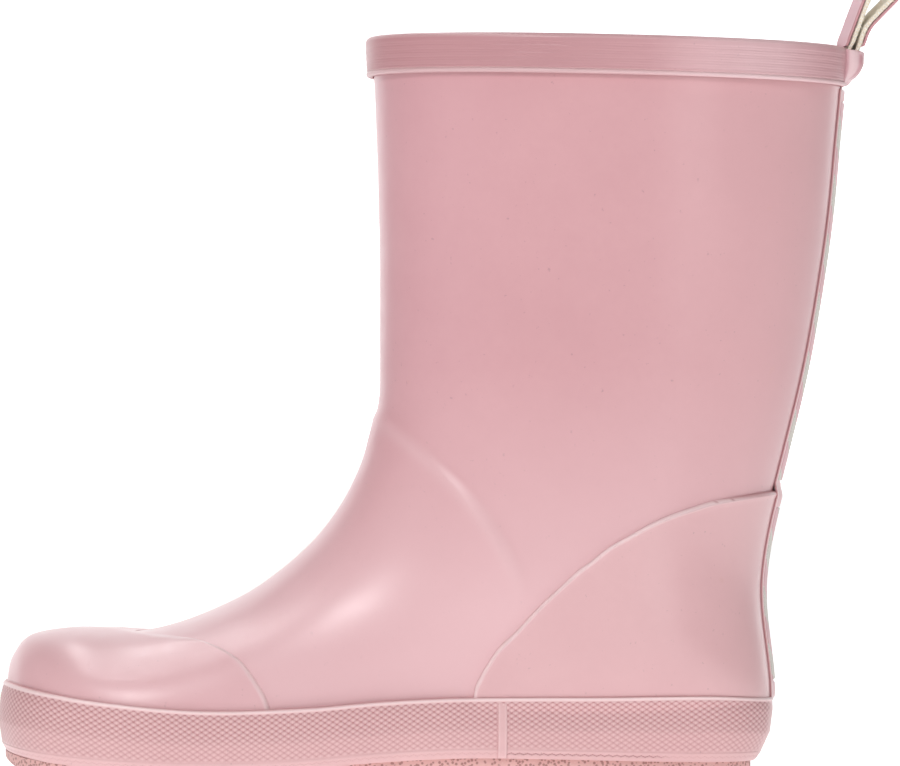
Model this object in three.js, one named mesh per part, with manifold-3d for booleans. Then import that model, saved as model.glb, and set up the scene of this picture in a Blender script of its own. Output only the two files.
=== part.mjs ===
// Child's pull-on rubber boot (one right boot), modelled as the separate
// pieces it is laid up from on the last. Millimetres, +Z up, toe towards -X,
// medial side towards -Y, origin on the ground under the middle of the part.
import * as THREE from "three";
import { mergeVertices } from "three/addons/utils/BufferGeometryUtils.js";
import Module from "manifold-3d";

const wasm = await Module();
wasm.setup();

// ---------------------------------------------------------------- dimensions
const GAP = 0.3; // clearance between pieces that touch
const T_UPPER = 1.4; // calendered rubber sheet of the leg and vamp
const T_STIFF = 0.6; // toe puff, vamp reinforcement and heel stiffener
const T_LINING = 1.8; // knitted lining
const T_LAYER = 1.0; // toe cap, heel counter, back strip
const T_BAND = 1.5; // top binding, each leg
const LINING_OUT = -(T_UPPER + GAP); // outer face of the lining
const LINING_IN = LINING_OUT - T_LINING; // inner face of the lining
const STRIP_HALF = 6.5; // half width of the back strip
const TAPE_HALF = 5.7; // half width of the reflective tape
const FOX_THICK = 2.2; // sidewall (foxing) tape
const MARGIN = 11; // lasting margin under the foot
const BOARD_T = 1.6;
const FOAM_T = 3.0;
const COVER_T = 0.8;
const LOOP_W = 13; // width of the pull loop's webbing
const WEB_T = 1.1;
const FACE_T = 0.7;
const LOOP_YAW = 9; // degrees that the free loop is turned about the vertical

// Lofting table of the outer face of the leg rubber. Each row is one section
// of the last: the point on the toe/vamp/instep/shaft-front line (xf, zf), the
// point on the sole/heel/back line (xb, zb), the position of the widest point
// between them, the half width, the upper and the lower superellipse exponent
// and the sideways shift of the section.
const ROWS = [
  // xf, zf, xb, zb, mid, w, nu, nl, yc
  [-113.9, 19.7, -113.9, 19.7, 0.42, 0.0, 2.2, 2.6, -5.0],
  [-113.7, 25.3, -113.7, 15.7, 0.42, 4.6, 2.2, 2.8, -5.0],
  [-113.2, 29.9, -112.7, 13.7, 0.4, 8.6, 2.2, 3.0, -5.0],
  [-112.2, 32.4, -111.1, 12.7, 0.38, 13.0, 2.2, 3.4, -4.9],
  [-110.4, 35.1, -108.6, 12.2, 0.37, 17.8, 2.2, 3.9, -4.8],
  [-107.6, 36.8, -105.1, 11.6, 0.36, 22.6, 2.2, 4.4, -4.6],
  [-102.8, 37.7, -100.0, 11.0, 0.35, 27.4, 2.2, 4.9, -4.2],
  [-96.0, 38.2, -93.2, 10.3, 0.33, 31.3, 2.2, 5.2, -3.6],
  [-87.6, 38.0, -84.8, 9.5, 0.31, 34.1, 2.2, 5.5, -2.7],
  [-78.7, 38.9, -75.7, 9.0, 0.3, 35.7, 2.2, 5.6, -1.7],
  [-69.9, 41.3, -66.1, 8.7, 0.29, 36.2, 2.2, 5.6, -0.6],
  [-61.5, 44.7, -56.0, 8.7, 0.29, 35.8, 2.2, 5.6, 0.3],
  [-53.9, 48.6, -44.6, 9.1, 0.3, 34.6, 2.2, 5.5, 1.0],
  [-46.8, 53.6, -31.9, 9.7, 0.32, 32.9, 2.2, 5.3, 1.5],
  [-40.5, 59.0, -18.0, 10.6, 0.34, 31.3, 2.2, 5.0, 1.7],
  [-35.2, 64.8, -2.8, 11.8, 0.36, 30.2, 2.2, 4.7, 1.7],
  [-31.1, 70.6, 12.9, 12.5, 0.38, 29.7, 2.2, 4.4, 1.5],
  [-28.1, 76.2, 28.9, 12.9, 0.41, 29.6, 2.2, 4.0, 1.2],
  [-25.8, 81.5, 44.6, 13.0, 0.44, 29.7, 2.2, 3.6, 0.8],
  [-24.1, 86.6, 58.5, 13.0, 0.46, 29.7, 2.2, 3.2, 0.5],
  [-22.8, 90.9, 68.6, 13.4, 0.48, 29.6, 2.2, 2.9, 0.3],
  [-21.9, 94.7, 74.0, 15.7, 0.49, 29.4, 2.2, 2.7, 0.1],
  [-21.4, 98.5, 75.9, 20.0, 0.5, 29.3, 2.2, 2.6, 0.0],
  [-21.3, 102.8, 76.0, 26.1, 0.5, 29.3, 2.2, 2.5, 0.0],
  [-21.3, 107.6, 75.2, 33.7, 0.5, 29.4, 2.2, 2.45, 0.0],
  [-21.3, 113.2, 74.1, 43.5, 0.5, 29.6, 2.2, 2.4, 0.0],
  [-21.3, 119.5, 74.1, 52.2, 0.5, 30.0, 2.2, 2.35, 0.0],
  [-21.3, 126.3, 75.5, 62.0, 0.5, 30.6, 2.2, 2.3, 0.0],
  [-21.3, 133.7, 77.8, 71.9, 0.5, 31.2, 2.2, 2.25, 0.0],
  [-21.5, 141.5, 80.3, 81.5, 0.5, 31.9, 2.2, 2.2, 0.0],
  [-21.7, 149.6, 82.9, 91.9, 0.5, 32.6, 2.2, 2.2, 0.0],
  [-21.9, 157.5, 85.4, 102.5, 0.5, 33.4, 2.2, 2.2, 0.0],
  [-22.2, 164.6, 87.6, 113.7, 0.5, 34.1, 2.2, 2.2, 0.0],
  [-22.4, 170.1, 89.6, 125.6, 0.5, 34.8, 2.2, 2.2, 0.0],
  [-22.6, 174.7, 91.3, 137.0, 0.5, 35.4, 2.2, 2.2, 0.0],
  [-22.8, 178.2, 92.7, 148.9, 0.5, 35.9, 2.2, 2.2, 0.0],
  [-23.0, 181.3, 93.7, 160.3, 0.5, 36.3, 2.2, 2.2, 0.0],
  [-23.1, 183.9, 94.8, 171.7, 0.5, 36.6, 2.2, 2.2, 0.0],
  [-23.2, 187.2, 95.6, 182.2, 0.5, 36.8, 2.2, 2.2, 0.0],
  [-23.3, 192.6, 96.2, 192.2, 0.5, 36.9, 2.2, 2.2, 0.0],
];
// Stations of the table at which the solids are lofted, and the angles of each half section.
const STATIONS = [0, 1, 2, 3, 4, 5, 6, 7, 8, 9.5, 11, 12.5, 14, 15.5, 17, 18.5, 20, 21, 22, 23.5, 25, 27, 29, 31, 33.5, 36, 39];
const ANGLES = [0, 20, 35, 46, 60, 90, 111, 131, 149, 165, 180];

// Side-view lines, as [x, z].
const TOP_FRONT = [-24.5, 188.3]; // top of the binding at the front
const TOP_BACK = [98.0, 185.5]; // and at the back
const BAND_H = 9.9; // height of the binding outside
const BAND_IN_H = 8.0; // and inside
const TOE_LINE = [
  [-84.8, 50], [-84.6, 39.4], [-78, 39.2], [-67.5, 38.2], [-61.6, 36.3], [-58.0, 34.4], [-55.2, 32.2], [-53.0, 29.4], [-51.3, 26.8], [-49.8, 24.4], [-48.5, 21.4], [-46.8, 16.0], [-46.0, 10.0],
];
const COUNTER_LINE = [
  [1.6, 10.0], [1.9, 18.0], [2.4, 24.5], [3.9, 27.9], [5.4, 30.7], [8.2, 34.9], [12.3, 38.9], [16.3, 43.3], [19.7, 46.8], [23.2, 50.0], [27.9, 54.2], [31.9, 57.2],
  [35.9, 60.4], [40.8, 63.1], [45.0, 65.4], [49.2, 67.3], [53.2, 68.8], [57.4, 70.1], [61.6, 71.3], [66.3, 72.1], [71.2, 72.8], [76.0, 73.4], [82, 74.0], [90, 74.6],
];
const RIDGE_LINE = [
  [-26, 95.0], [-21.0, 93.0], [-12, 86.0], [-5.5, 80.5], [0.7, 74.0], [7.0, 66.3], [11.8, 58.5], [14.8, 50.0], [15.5, 40.0], [13.8, 28.0], [12.5, 18.0],
];
// Sole side-view curves, as [x, z] from toe to heel.
const FOX_TOP = [[-118, 26.9], [-112, 26.2], [-103, 24.7], [-90, 22.7], [-65, 20.5], [-39, 20.9], [-22, 22.2], [-5, 23.0], [12, 23.2], [34, 23.2], [60, 23.3], [72, 22.4], [83, 21.0]];
const FOX_BOTTOM = [[-118, 9.6], [-108, 7.9], [-90, 6.2], [-65, 5.2], [-45, 5.4], [-20, 7.2], [0, 8.0], [20, 7.7], [50, 6.8], [83, 6.0]];
const SOLE_TOP = [[-118, 13.2], [-108, 11.0], [-90, 8.9], [-65, 7.6], [-45, 7.8], [-20, 9.3], [0, 9.8], [20, 9.5], [50, 8.8], [83, 8.2]];
const SOLE_PLATE = [[-118, 9.5], [-108, 6.6], [-90, 4.0], [-65, 3.0], [-45, 3.0], [-20, 4.6], [0, 5.4], [20, 5.0], [34, 3.4], [50, 3.0], [83, 3.0]];
const TREAD_BASE = [[-118, 8.2], [-112, 5.4], [-104, 2.6], [-94, 0.7], [-86, -0.2], [-76, -0.3], [-40, -0.3], [-30, 0.1], [-18, 1.6], [-8, 2.9], [8, 3.0], [18, 1.4], [20, -0.2], [30, -0.3], [62, -0.3], [72, -0.2], [79, 0.8], [83, 2.2]];
const BED = [[-118, 18.6], [-108, 17.5], [-90, 15.2], [-65, 14.1], [-45, 14.5], [-20, 15.9], [0, 17.3], [20, 18.1], [50, 18.5], [83, 18.8]]; // top of the insole board
const WEDGE_TOP = [[-118, 8], [-8, 10.9], [0, 11.6], [13, 12.1], [29, 12.5], [45, 12.7], [69, 13.0], [83, 13.2]];

// ---------------------------------------------------------------- curves
// Natural cubic spline through equally spaced values, with its slope.
function spline(values) {
  const n = values.length, m = new Array(n).fill(0), c = new Array(n).fill(0), d = new Array(n).fill(0);
  for (let i = 1; i < n - 1; i++) {
    const r = 6 * (values[i + 1] - 2 * values[i] + values[i - 1]);
    const p = 4 - c[i - 1];
    c[i] = 1 / p;
    d[i] = (r - d[i - 1]) / p;
  }
  for (let i = n - 2; i > 0; i--) m[i] = d[i] - c[i] * m[i + 1];
  return (u) => {
    const i = Math.max(0, Math.min(n - 2, Math.floor(u))), t = u - i, s = 1 - t;
    const v = s * values[i] + t * values[i + 1] + ((s ** 3 - s) * m[i] + (t ** 3 - t) * m[i + 1]) / 6;
    const g = values[i + 1] - values[i] + ((1 - 3 * s * s) * m[i] + (3 * t * t - 1) * m[i + 1]) / 6;
    return [v, g];
  };
}
const COLS = ROWS[0].map((_, k) => spline(ROWS.map((r) => r[k])));

// Section u of the last, moved outwards by off.
function section(u, off) {
  const [xf, dxf] = COLS[0](u), [zf, dzf] = COLS[1](u), [xb, dxb] = COLS[2](u), [zb, dzb] = COLS[3](u);
  const [mid, dm] = COLS[4](u), [w, dw] = COLS[5](u);
  const nu = COLS[6](u)[0], nl = COLS[7](u)[0], yc = COLS[8](u)[0];
  const lf = Math.hypot(dxf, dzf), lb = Math.hypot(dxb, dzb);
  let nf = [-dzf / lf, dxf / lf], nb = [dzb / lb, -dxb / lb];
  if (u < 1e-6) nf = nb = [-1, 0];
  const dx = dxb + dm * (xf - xb) + mid * (dxf - dxb);
  const ny = u < 1e-6 ? 0 : Math.min(1, Math.abs(dx) / Math.hypot(dx, dw));
  const side = u > 20 ? 1 : ny;
  return {
    f: [xf + nf[0] * off, zf + nf[1] * off],
    b: [xb + nb[0] * off, zb + nb[1] * off],
    mid, w: Math.max(0, w + side * off), nu, nl, yc,
  };
}
function sectionPoint(s, degrees) {
  const a = (degrees * Math.PI) / 180, c = Math.cos(a), n0 = Math.sin(a), n = Math.abs(c) < 1e-9 ? 2 : c > 0 ? s.nl : s.nu;
  const r = (Math.abs(c) ** n + Math.abs(n0) ** n) ** (-1 / n);
  const along = c > 0 ? s.mid * (1 - c * r) : s.mid + (1 - s.mid) * -c * r;
  return new THREE.Vector3(
    s.b[0] + along * (s.f[0] - s.b[0]),
    s.yc - s.w * n0 * r,
    s.b[1] + along * (s.f[1] - s.b[1]),
  );
}
function alongCurve(points, x) {
  if (x <= points[0][0]) return points[0][1];
  for (let i = 1; i < points.length; i++)
    if (x <= points[i][0]) {
      const p0 = points[Math.max(0, i - 2)], p1 = points[i - 1], p2 = points[i], p3 = points[Math.min(points.length - 1, i + 1)];
      const h = p2[0] - p1[0], t = (x - p1[0]) / h;
      const m1 = ((p2[1] - p0[1]) / (p2[0] - p0[0])) * h, m2 = ((p3[1] - p1[1]) / (p3[0] - p1[0])) * h;
      return (2 * t ** 3 - 3 * t * t + 1) * p1[1] + (t ** 3 - 2 * t * t + t) * m1 + (-2 * t ** 3 + 3 * t * t) * p2[1] + (t ** 3 - t * t) * m2;
    }
  return points[points.length - 1][1];
}

// ---------------------------------------------------------------- solids
function solid(geometry) {
  const g = geometry.index ? geometry.toNonIndexed() : geometry.clone();
  g.deleteAttribute("normal");
  g.deleteAttribute("uv");
  const m = mergeVertices(g, 1e-4);
  const index = [];
  for (let i = 0; i < m.index.count; i += 3) {
    const [a, b, c] = [m.index.getX(i), m.index.getX(i + 1), m.index.getX(i + 2)];
    if (a !== b && b !== c && a !== c) index.push(a, b, c);
  }
  const make = (tri) => new wasm.Manifold(new wasm.Mesh({ numProp: 3, vertProperties: new Float32Array(m.attributes.position.array), triVerts: new Uint32Array(tri) }));
  let made = make(index);
  if (made.volume() < 0) {
    for (let i = 0; i < index.length; i += 3) [index[i + 1], index[i + 2]] = [index[i + 2], index[i + 1]];
    made = make(index);
  }
  return made;
}
// A closed body through rings of points; a ring of one point is a pole.
function loft(rings) {
  const position = [], tri = (...p) => p.forEach((q) => position.push(q.x, q.y, q.z));
  for (let i = 0; i + 1 < rings.length; i++) {
    const a = rings[i], b = rings[i + 1], n = Math.max(a.length, b.length);
    for (let j = 0; j < n; j++) {
      const k = (j + 1) % n;
      const [a0, a1, b0, b1] = [a[a.length > 1 ? j : 0], a[a.length > 1 ? k : 0], b[b.length > 1 ? j : 0], b[b.length > 1 ? k : 0]];
      if (a.length > 1) tri(a0, a1, b0);
      if (b.length > 1) tri(a1, b1, b0);
    }
  }
  const g = new THREE.BufferGeometry();
  g.setAttribute("position", new THREE.Float32BufferAttribute(position, 3));
  return solid(g);
}
const socks = new Map();
function sock(off) {
  const key = off.toFixed(3);
  if (!socks.has(key)) {
    const rings = STATIONS.map((u) => {
      const s = section(u, off);
      if (u === 0) return [sectionPoint(s, 0)];
      return [...ANGLES, ...ANGLES.slice(1, -1).reverse().map((a) => 360 - a)].map((a) => sectionPoint(s, a));
    });
    const last = rings[rings.length - 1], centre = new THREE.Vector3();
    last.forEach((p) => centre.add(p));
    rings.push([centre.divideScalar(last.length)]);
    socks.set(key, loft(rings));
  }
  return socks.get(key);
}
const shell = (outer, inner) => sock(outer).subtract(sock(inner));
// A side-view outline carried across the boot.
function across(points, y0 = -90, y1 = 90) {
  const g = new THREE.ExtrudeGeometry(new THREE.Shape(points.map((p) => new THREE.Vector2(p[0], p[1]))), { depth: y1 - y0, bevelEnabled: false, steps: 1 });
  return solid(g.applyMatrix4(new THREE.Matrix4().set(1, 0, 0, 0, 0, 0, -1, y1, 0, 1, 0, 0, 0, 0, 0, 1)));
}
// A plan outline carried upwards.
function upright(points, z0, z1) {
  const g = new THREE.ExtrudeGeometry(new THREE.Shape(points.map((p) => new THREE.Vector2(p[0], p[1]))), { depth: z1 - z0, bevelEnabled: false, steps: 1 });
  return solid(g.applyMatrix4(new THREE.Matrix4().makeTranslation(0, 0, z0)));
}
const block = (x0, x1, y0, y1, z0, z1) => solid(new THREE.BoxGeometry(x1 - x0, y1 - y0, z1 - z0).translate((x0 + x1) / 2, (y0 + y1) / 2, (z0 + z1) / 2));
const sampled = (curve, lift, n = 22, x0 = -118, x1 = 83) => Array.from({ length: n + 1 }, (_, i) => { const x = x0 + ((x1 - x0) * i) / n; return [x, alongCurve(curve, x) + lift]; });
const between = (low, dl, high, dh, n) => across([...sampled(low, dl, n), ...sampled(high, dh, n).reverse()]);
const above = (curve, lift, n) => across([...sampled(curve, lift, n), [83, 60], [110, 60], [110, 230], [-130, 230], [-130, 60], [-118, 60]]);
const rimLine = (drop) => { const k = (TOP_BACK[1] - TOP_FRONT[1]) / (TOP_BACK[0] - TOP_FRONT[0]); return (x) => TOP_FRONT[1] + k * (x - TOP_FRONT[0]) - drop; };
const belowRim = (drop) => { const z = rimLine(drop); return across([[-130, -20], [130, -20], [130, z(130)], [-130, z(-130)]]); };
const rimSlab = (lowDrop, highDrop) => { const a = rimLine(lowDrop), b = rimLine(highDrop); return across([[-60, a(-60)], [125, a(125)], [125, b(125)], [-60, b(-60)]]); };
function grow(points, d) {
  return points.map((p, i) => {
    const a = points[Math.max(0, i - 1)], b = points[Math.min(points.length - 1, i + 1)], l = Math.hypot(b[0] - a[0], b[1] - a[1]);
    return [p[0] - ((b[1] - a[1]) / l) * d, p[1] + ((b[0] - a[0]) / l) * d];
  });
}
const toeRegion = (d) => across([...grow(TOE_LINE, d), [-46 + d, 0], [-130, 0], [-130, 50 + d]]);
const heelRegion = (d) => across([...grow(COUNTER_LINE, d), [100, 74.6 + d], [100, 0], [1.6 - d, 0]]);
const vampRegion = (d) => across([...grow(RIDGE_LINE, d), [12.5 + d, 0], [-130, 0], [-130, 95 + d]]);

// Plan outline of the upper at the level of a side-view curve, from the toe round the medial side to the heel and back.
function outline(curve, lift, count = 26) {
  const hits = [];
  for (let u = 0.5; u <= 24; u += 0.05) {
    const s = section(u, 0), z = (a) => { const p = sectionPoint(s, a); return p.z - alongCurve(curve, p.x) - lift; };
    if (z(0) > 0 || z(180) < 0) continue;
    let lo = 0, hi = 180;
    for (let k = 0; k < 40; k++) { const m = (lo + hi) / 2; if (z(m) > 0) hi = m; else lo = m; }
    const p = sectionPoint(s, lo);
    hits.push([p.x, s.yc - p.y, s.yc]);
  }
  hits[0][1] = hits[hits.length - 1][1] = 0;
  const run = [0];
  for (let i = 1; i < hits.length; i++) run.push(run[i - 1] + Math.hypot(hits[i][0] - hits[i - 1][0], hits[i][1] - hits[i - 1][1]));
  const side = Array.from({ length: count + 1 }, (_, k) => {
    const s = (run[run.length - 1] * k) / count;
    let i = run.findIndex((r) => r >= s);
    if (i < 1) i = 1;
    const t = (s - run[i - 1]) / (run[i] - run[i - 1] || 1);
    return hits[i].map((v, c) => hits[i - 1][c] + t * (v - hits[i - 1][c]));
  });
  return [...side.map((p) => [p[0], p[2] - p[1]]), ...side.slice(1, -1).reverse().map((p) => [p[0], p[2] + p[1]])];
}
// A closed plan outline moved outwards by d, which may depend on the place.
function moved(points, d) {
  const n = points.length;
  return points.map((p, i) => {
    const a = points[(i + n - 1) % n], b = points[(i + 1) % n], l = Math.hypot(b[0] - a[0], b[1] - a[1]), q = typeof d === "function" ? d(p) : d;
    return [p[0] - (-(b[1] - a[1]) / l) * q, p[1] - ((b[0] - a[0]) / l) * q];
  });
}
const PLAN = outline(FOX_TOP, -4);

// ---------------------------------------------------------------- the pieces
const bootGroup = new THREE.Group();
const placed = new THREE.Group(); // brings the middle of the whole part over the origin
placed.position.set(-0.4, 0.6, 0);
bootGroup.add(placed);
const colours = {
  upper: [0xd9a3ab, 0.38], overlay: [0xdba6ad, 0.4], sole: [0xdca9ae, 0.6], outsole: [0xcf9c9c, 0.8], lining: [0xe9e1d6, 0.95],
  web: [0xe8dfce, 0.95], tape: [0xe6e2d8, 0.5], board: [0xb59b7c, 0.9], sponge: [0xcfc4b4, 0.9], stiff: [0xc9b9a4, 0.9],
};
function piece(name, body, look, group = placed) {
  const mesh = body.getMesh(), geometry = new THREE.BufferGeometry();
  const v = new Float32Array(mesh.numVert * 3);
  for (let i = 0; i < mesh.numVert; i++) for (let k = 0; k < 3; k++) v[3 * i + k] = mesh.vertProperties[i * mesh.numProp + k];
  geometry.setAttribute("position", new THREE.BufferAttribute(v, 3));
  geometry.setIndex(new THREE.BufferAttribute(mesh.triVerts, 1));
  geometry.computeVertexNormals();
  const made = new THREE.Mesh(geometry, new THREE.MeshStandardMaterial({ color: colours[look][0], roughness: colours[look][1], metalness: 0 }));
  made.name = name;
  group.add(made);
}
const largest = (body) => body.decompose().sort((a, b) => b.volume() - a.volume())[0].simplify(0.01);

// Column under the foot that the lasting margins leave open.
const hole = upright(moved(PLAN, -MARGIN), -5, 30);
const holeFill = upright(moved(PLAN, -MARGIN - GAP - 0.2), -5, 30);

// Leg and vamp: one rubber sheet, turned under the foot by the lasting margin.
const legTop = T_BAND + 0.1;
piece("leg_upper", shell(0, -T_UPPER).intersect(belowRim(legTop)).subtract(hole).simplify(0.01), "upper");

// Reinforcements between the rubber and the lining.
const stiffLayer = shell(LINING_OUT, LINING_OUT - T_STIFF);
const stiffPocket = shell(LINING_OUT + 0.1, LINING_OUT - T_STIFF - GAP);
const stiffBase = above([[-118, 19], [-90, 17], [-60, 15.5], [0, 18], [83, 20]], 0, 8);
const stiffBaseGrown = above([[-118, 19], [-90, 17], [-60, 15.5], [0, 18], [83, 20]], -GAP, 8);
const toePuff = stiffLayer.intersect(toeRegion(-3)).intersect(stiffBase);
const vampPiece = stiffLayer.intersect(vampRegion(-1)).subtract(toeRegion(-3 + GAP + 0.2)).subtract(heelRegion(-1 + GAP)).intersect(stiffBase);
const heelStiff = stiffLayer.intersect(heelRegion(-4)).subtract(vampRegion(0)).intersect(stiffBase);
const pocketArea = vampRegion(-1 + GAP).add(heelRegion(-4 + GAP)).intersect(stiffBaseGrown);
piece("toe_puff", largest(toePuff), "stiff");
piece("vamp_reinforcement", largest(vampPiece), "stiff");
piece("heel_stiffener", largest(heelStiff), "stiff");

// Knitted lining, turned under like the leg rubber.
piece("leg_lining", shell(LINING_OUT, LINING_IN).intersect(belowRim(legTop)).subtract(hole).subtract(stiffPocket.intersect(pocketArea)).simplify(0.01), "lining");

// Layers on the outside.
const layerLow = FOX_TOP.map((p) => [p[0], p[1] - 8]);
const layer = shell(GAP + T_LAYER, GAP).intersect(above(layerLow, 0, 14));
piece("toe_cap", largest(layer.intersect(toeRegion(0))), "overlay");
piece("heel_counter", largest(layer.intersect(heelRegion(0))), "overlay");

// Back strip over the leg's back seam and over the counter, with its reflective tape let in.
const COUNTER_TOP = 73.4;
const behind = (half, z0, z1) => block(30, 125, -half, half, z0, z1);
const onCounter = GAP + T_LAYER; // how much further out the strip lies on the counter
const stripEnd = rimLine(BAND_H + GAP);
const stripArea = (half, grown) => across([[30, 21.4 - grown], [125, 21.4 - grown], [125, stripEnd(125) + grown], [30, stripEnd(30) + grown]], -half, half);
const raised = (t) => sock(t).intersect(behind(20, COUNTER_TOP - 1.6, 200)).add(sock(t + onCounter).intersect(behind(20, 10, COUNTER_TOP + 1.6)));
const counterClear = sock(onCounter + GAP).intersect(heelRegion(GAP));
const TAPES = [["reflective_tape_upper", COUNTER_TOP + 3.2, 172], ["reflective_tape_lower", 26, COUNTER_TOP - 3.2]];
const tapeRoom = TAPES.map(([, a, b]) => behind(TAPE_HALF + GAP, a - GAP, b + GAP)).reduce((a, b) => a.add(b));
const strip = raised(GAP + T_LAYER).intersect(stripArea(STRIP_HALF, 0)).subtract(sock(GAP)).subtract(counterClear).subtract(tapeRoom.subtract(raised(GAP + T_LAYER - 0.65)));
piece("back_strip", largest(strip), "overlay");
for (const [name, a, b] of TAPES) piece(name, largest(raised(GAP + T_LAYER).intersect(behind(TAPE_HALF, a, b)).subtract(raised(GAP + T_LAYER - 0.4))), "tape");

// Top binding: a channel over the edge of rubber and lining, notched at the back for the loop's tails.
const PIVOT = { x: 97.9, z: 188.0, r: 2.7 }; // where the loop bends at its root
const TAIL = { x0: 96.0, x1: 99.4, floor: 178.8, shoulder: 183.6 };
const notchAt = (y) => block(92.3, 110, -y, y, TAIL.floor - GAP, TAIL.shoulder + GAP).add(block(TAIL.x0 - GAP, 110, -y, y, TAIL.shoulder, 200));
const tailNotch = notchAt(LOOP_W / 2 + GAP);
const channel = sock(GAP).subtract(sock(LINING_IN - GAP)).intersect(belowRim(T_BAND - 0.2));
const bandOuter = sock(GAP + T_BAND).intersect(rimSlab(BAND_H, 0)).subtract(sock(LINING_IN - GAP - T_BAND + 0.3));
const bandInnerCut = sock(-0.5).intersect(belowRim(BAND_IN_H));
piece("top_band", largest(bandOuter.subtract(channel).subtract(bandInnerCut).subtract(tailNotch)), "overlay");

// Both tails of the pull loop stand against the leg rubber under a patch.
const patchOutline = [[92, 176.3], [97.3, 176.3], [97.7, 177.5], [98.9, 178.2], [100.2, 179.6], [100.8, 181.4], [100.9, 184.1], [100.3, 184.9], [92, 185.1]];
const patchPlan = [[90, -10.4], [96.7, -9.9], [98.7, -9.2], [100.2, -8.0], [100.9, -6.2], [101.1, 0], [100.9, 6.2], [100.2, 8.0], [98.7, 9.2], [96.7, 9.9], [90, 10.4]];
const tailRoom = block(90, TAIL.x1 + GAP, -LOOP_W / 2 - GAP, LOOP_W / 2 + GAP, TAIL.floor - GAP, 200);
piece("loop_patch", largest(across(patchOutline).intersect(upright(patchPlan, 170, 190)).subtract(sock(GAP + T_BAND + GAP)).subtract(tailRoom)), "overlay");
const pivotRod = (r) => solid(new THREE.CylinderGeometry(r, r, 60, 20).translate(PIVOT.x, 0, PIVOT.z));
const tails = block(90, TAIL.x1, -LOOP_W / 2, LOOP_W / 2, TAIL.floor, PIVOT.z).subtract(sock(GAP)).subtract(block(80, TAIL.x0, -20, 20, TAIL.shoulder, 190)).subtract(pivotRod(PIVOT.r + GAP)).subtract(block(80, 110, -20, 20, PIVOT.z - PIVOT.r - GAP, 190));
piece("loop_tails", largest(tails), "web");

// Free loop: webbing inside, coated facing outside, one closed bend.
const loopLine = new THREE.CatmullRomCurve3([
  [96.4, 184.5], [96.7, 187.5], [97.7, 190.2], [99.2, 194.2], [100.8, 198.2], [102.4, 202.3], [104.2, 206.6], [106.0, 210.6], [109.0, 214.4], [112.7, 215.4], [115.6, 213.2], [116.4, 210.0], [115.5, 206.9], [113.7, 204.2], [111.8, 202.0], [109.9, 200.0], [107.3, 197.3], [104.0, 194.0], [101.2, 190.9], [99.7, 187.5], [99.6, 184.5],
].map((p) => new THREE.Vector3(p[0], 0, p[1])));
function ribbon(curve, inner, outer, width, n) {
  const pts = curve.getSpacedPoints(n), edge = (d) => pts.map((p, i) => {
    const a = pts[Math.max(0, i - 1)], b = pts[Math.min(n, i + 1)], l = Math.hypot(b.x - a.x, b.z - a.z);
    return [p.x - ((b.z - a.z) / l) * d, p.z + ((b.x - a.x) / l) * d];
  });
  return across([...edge(outer), ...edge(inner).reverse()], -width / 2, width / 2);
}
const turn = new THREE.Matrix4().makeTranslation(98, 0, 0).multiply(new THREE.Matrix4().makeRotationZ((LOOP_YAW * Math.PI) / 180)).multiply(new THREE.Matrix4().makeTranslation(-98, 0, 0));
const turned = (body) => body.transform(Array.from(turn.elements));
const foot = pivotRod(PIVOT.r).add(block(80, 140, -30, 30, PIVOT.z, 230));
piece("loop_webbing", largest(turned(ribbon(loopLine, -WEB_T, 0, LOOP_W, 34)).intersect(foot)), "web");
piece("loop_facing", largest(turned(ribbon(loopLine, GAP, GAP + FACE_T, LOOP_W - 0.6, 34)).intersect(foot)), "overlay");

// Sidewall tape round the foot, lapped at the medial waist under a joint strip.
const toeBulge = (p) => Math.max(0, Math.min(1, (-85 - p[0]) / 25));
const heelTuck = (p) => Math.max(0, Math.min(1, (p[0] - 20) / 50));
const levels = [
  [0.0, (p) => FOX_THICK - 1.1 - 2.6 * heelTuck(p) + 0.2 * toeBulge(p)],
  [0.12, (p) => FOX_THICK - 0.2 - 2.1 * heelTuck(p) + 0.5 * toeBulge(p)],
  [0.45, (p) => FOX_THICK + 0.6 - 0.5 * heelTuck(p) + 0.5 * toeBulge(p)],
  [0.8, (p) => FOX_THICK + 0.5 + 0.3 * heelTuck(p)],
  [0.97, (p) => FOX_THICK + 0.2 + 0.5 * heelTuck(p) - 0.5 * toeBulge(p)],
  [1.0, (p) => FOX_THICK - 0.4 + 0.5 * heelTuck(p) - 0.6 * toeBulge(p)],
];
const ringAt = (share, d) => moved(PLAN, d).map((p) => new THREE.Vector3(p[0], p[1], alongCurve(FOX_BOTTOM, p[0]) * (1 - share) + alongCurve(FOX_TOP, p[0]) * share));
function ringBody(rings) {
  const centre = (ring) => { const c = new THREE.Vector3(); ring.forEach((p) => c.add(p)); return [c.divideScalar(ring.length)]; };
  return loft([centre(rings[0]), ...rings, centre(rings[rings.length - 1])]);
}
function torus(rings) {
  const position = [], tri = (...p) => p.forEach((q) => position.push(q.x, q.y, q.z)), m = rings.length;
  for (let i = 0; i < m; i++) {
    const a = rings[i], b = rings[(i + 1) % m], n = a.length;
    for (let j = 0; j < n; j++) { const k = (j + 1) % n; tri(a[j], a[k], b[j]); tri(a[k], b[k], b[j]); }
  }
  const g = new THREE.BufferGeometry();
  g.setAttribute("position", new THREE.Float32BufferAttribute(position, 3));
  return solid(g);
}
const foxing = torus([...levels.map(([s, d]) => ringAt(s, d)), ringAt(1.0, -1.5), ringAt(0.5, -1.5), ringAt(0.0, (p) => -1.5 - 1.5 * heelTuck(p))]);
const foxClear = sock(GAP).add(sock(GAP + T_LAYER + GAP).intersect(toeRegion(GAP).add(heelRegion(GAP))));
const stripClear = raised(GAP + T_LAYER + GAP).intersect(stripArea(STRIP_HALF + GAP, GAP));
const foxBody = foxing.subtract(foxClear).subtract(stripClear);
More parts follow.
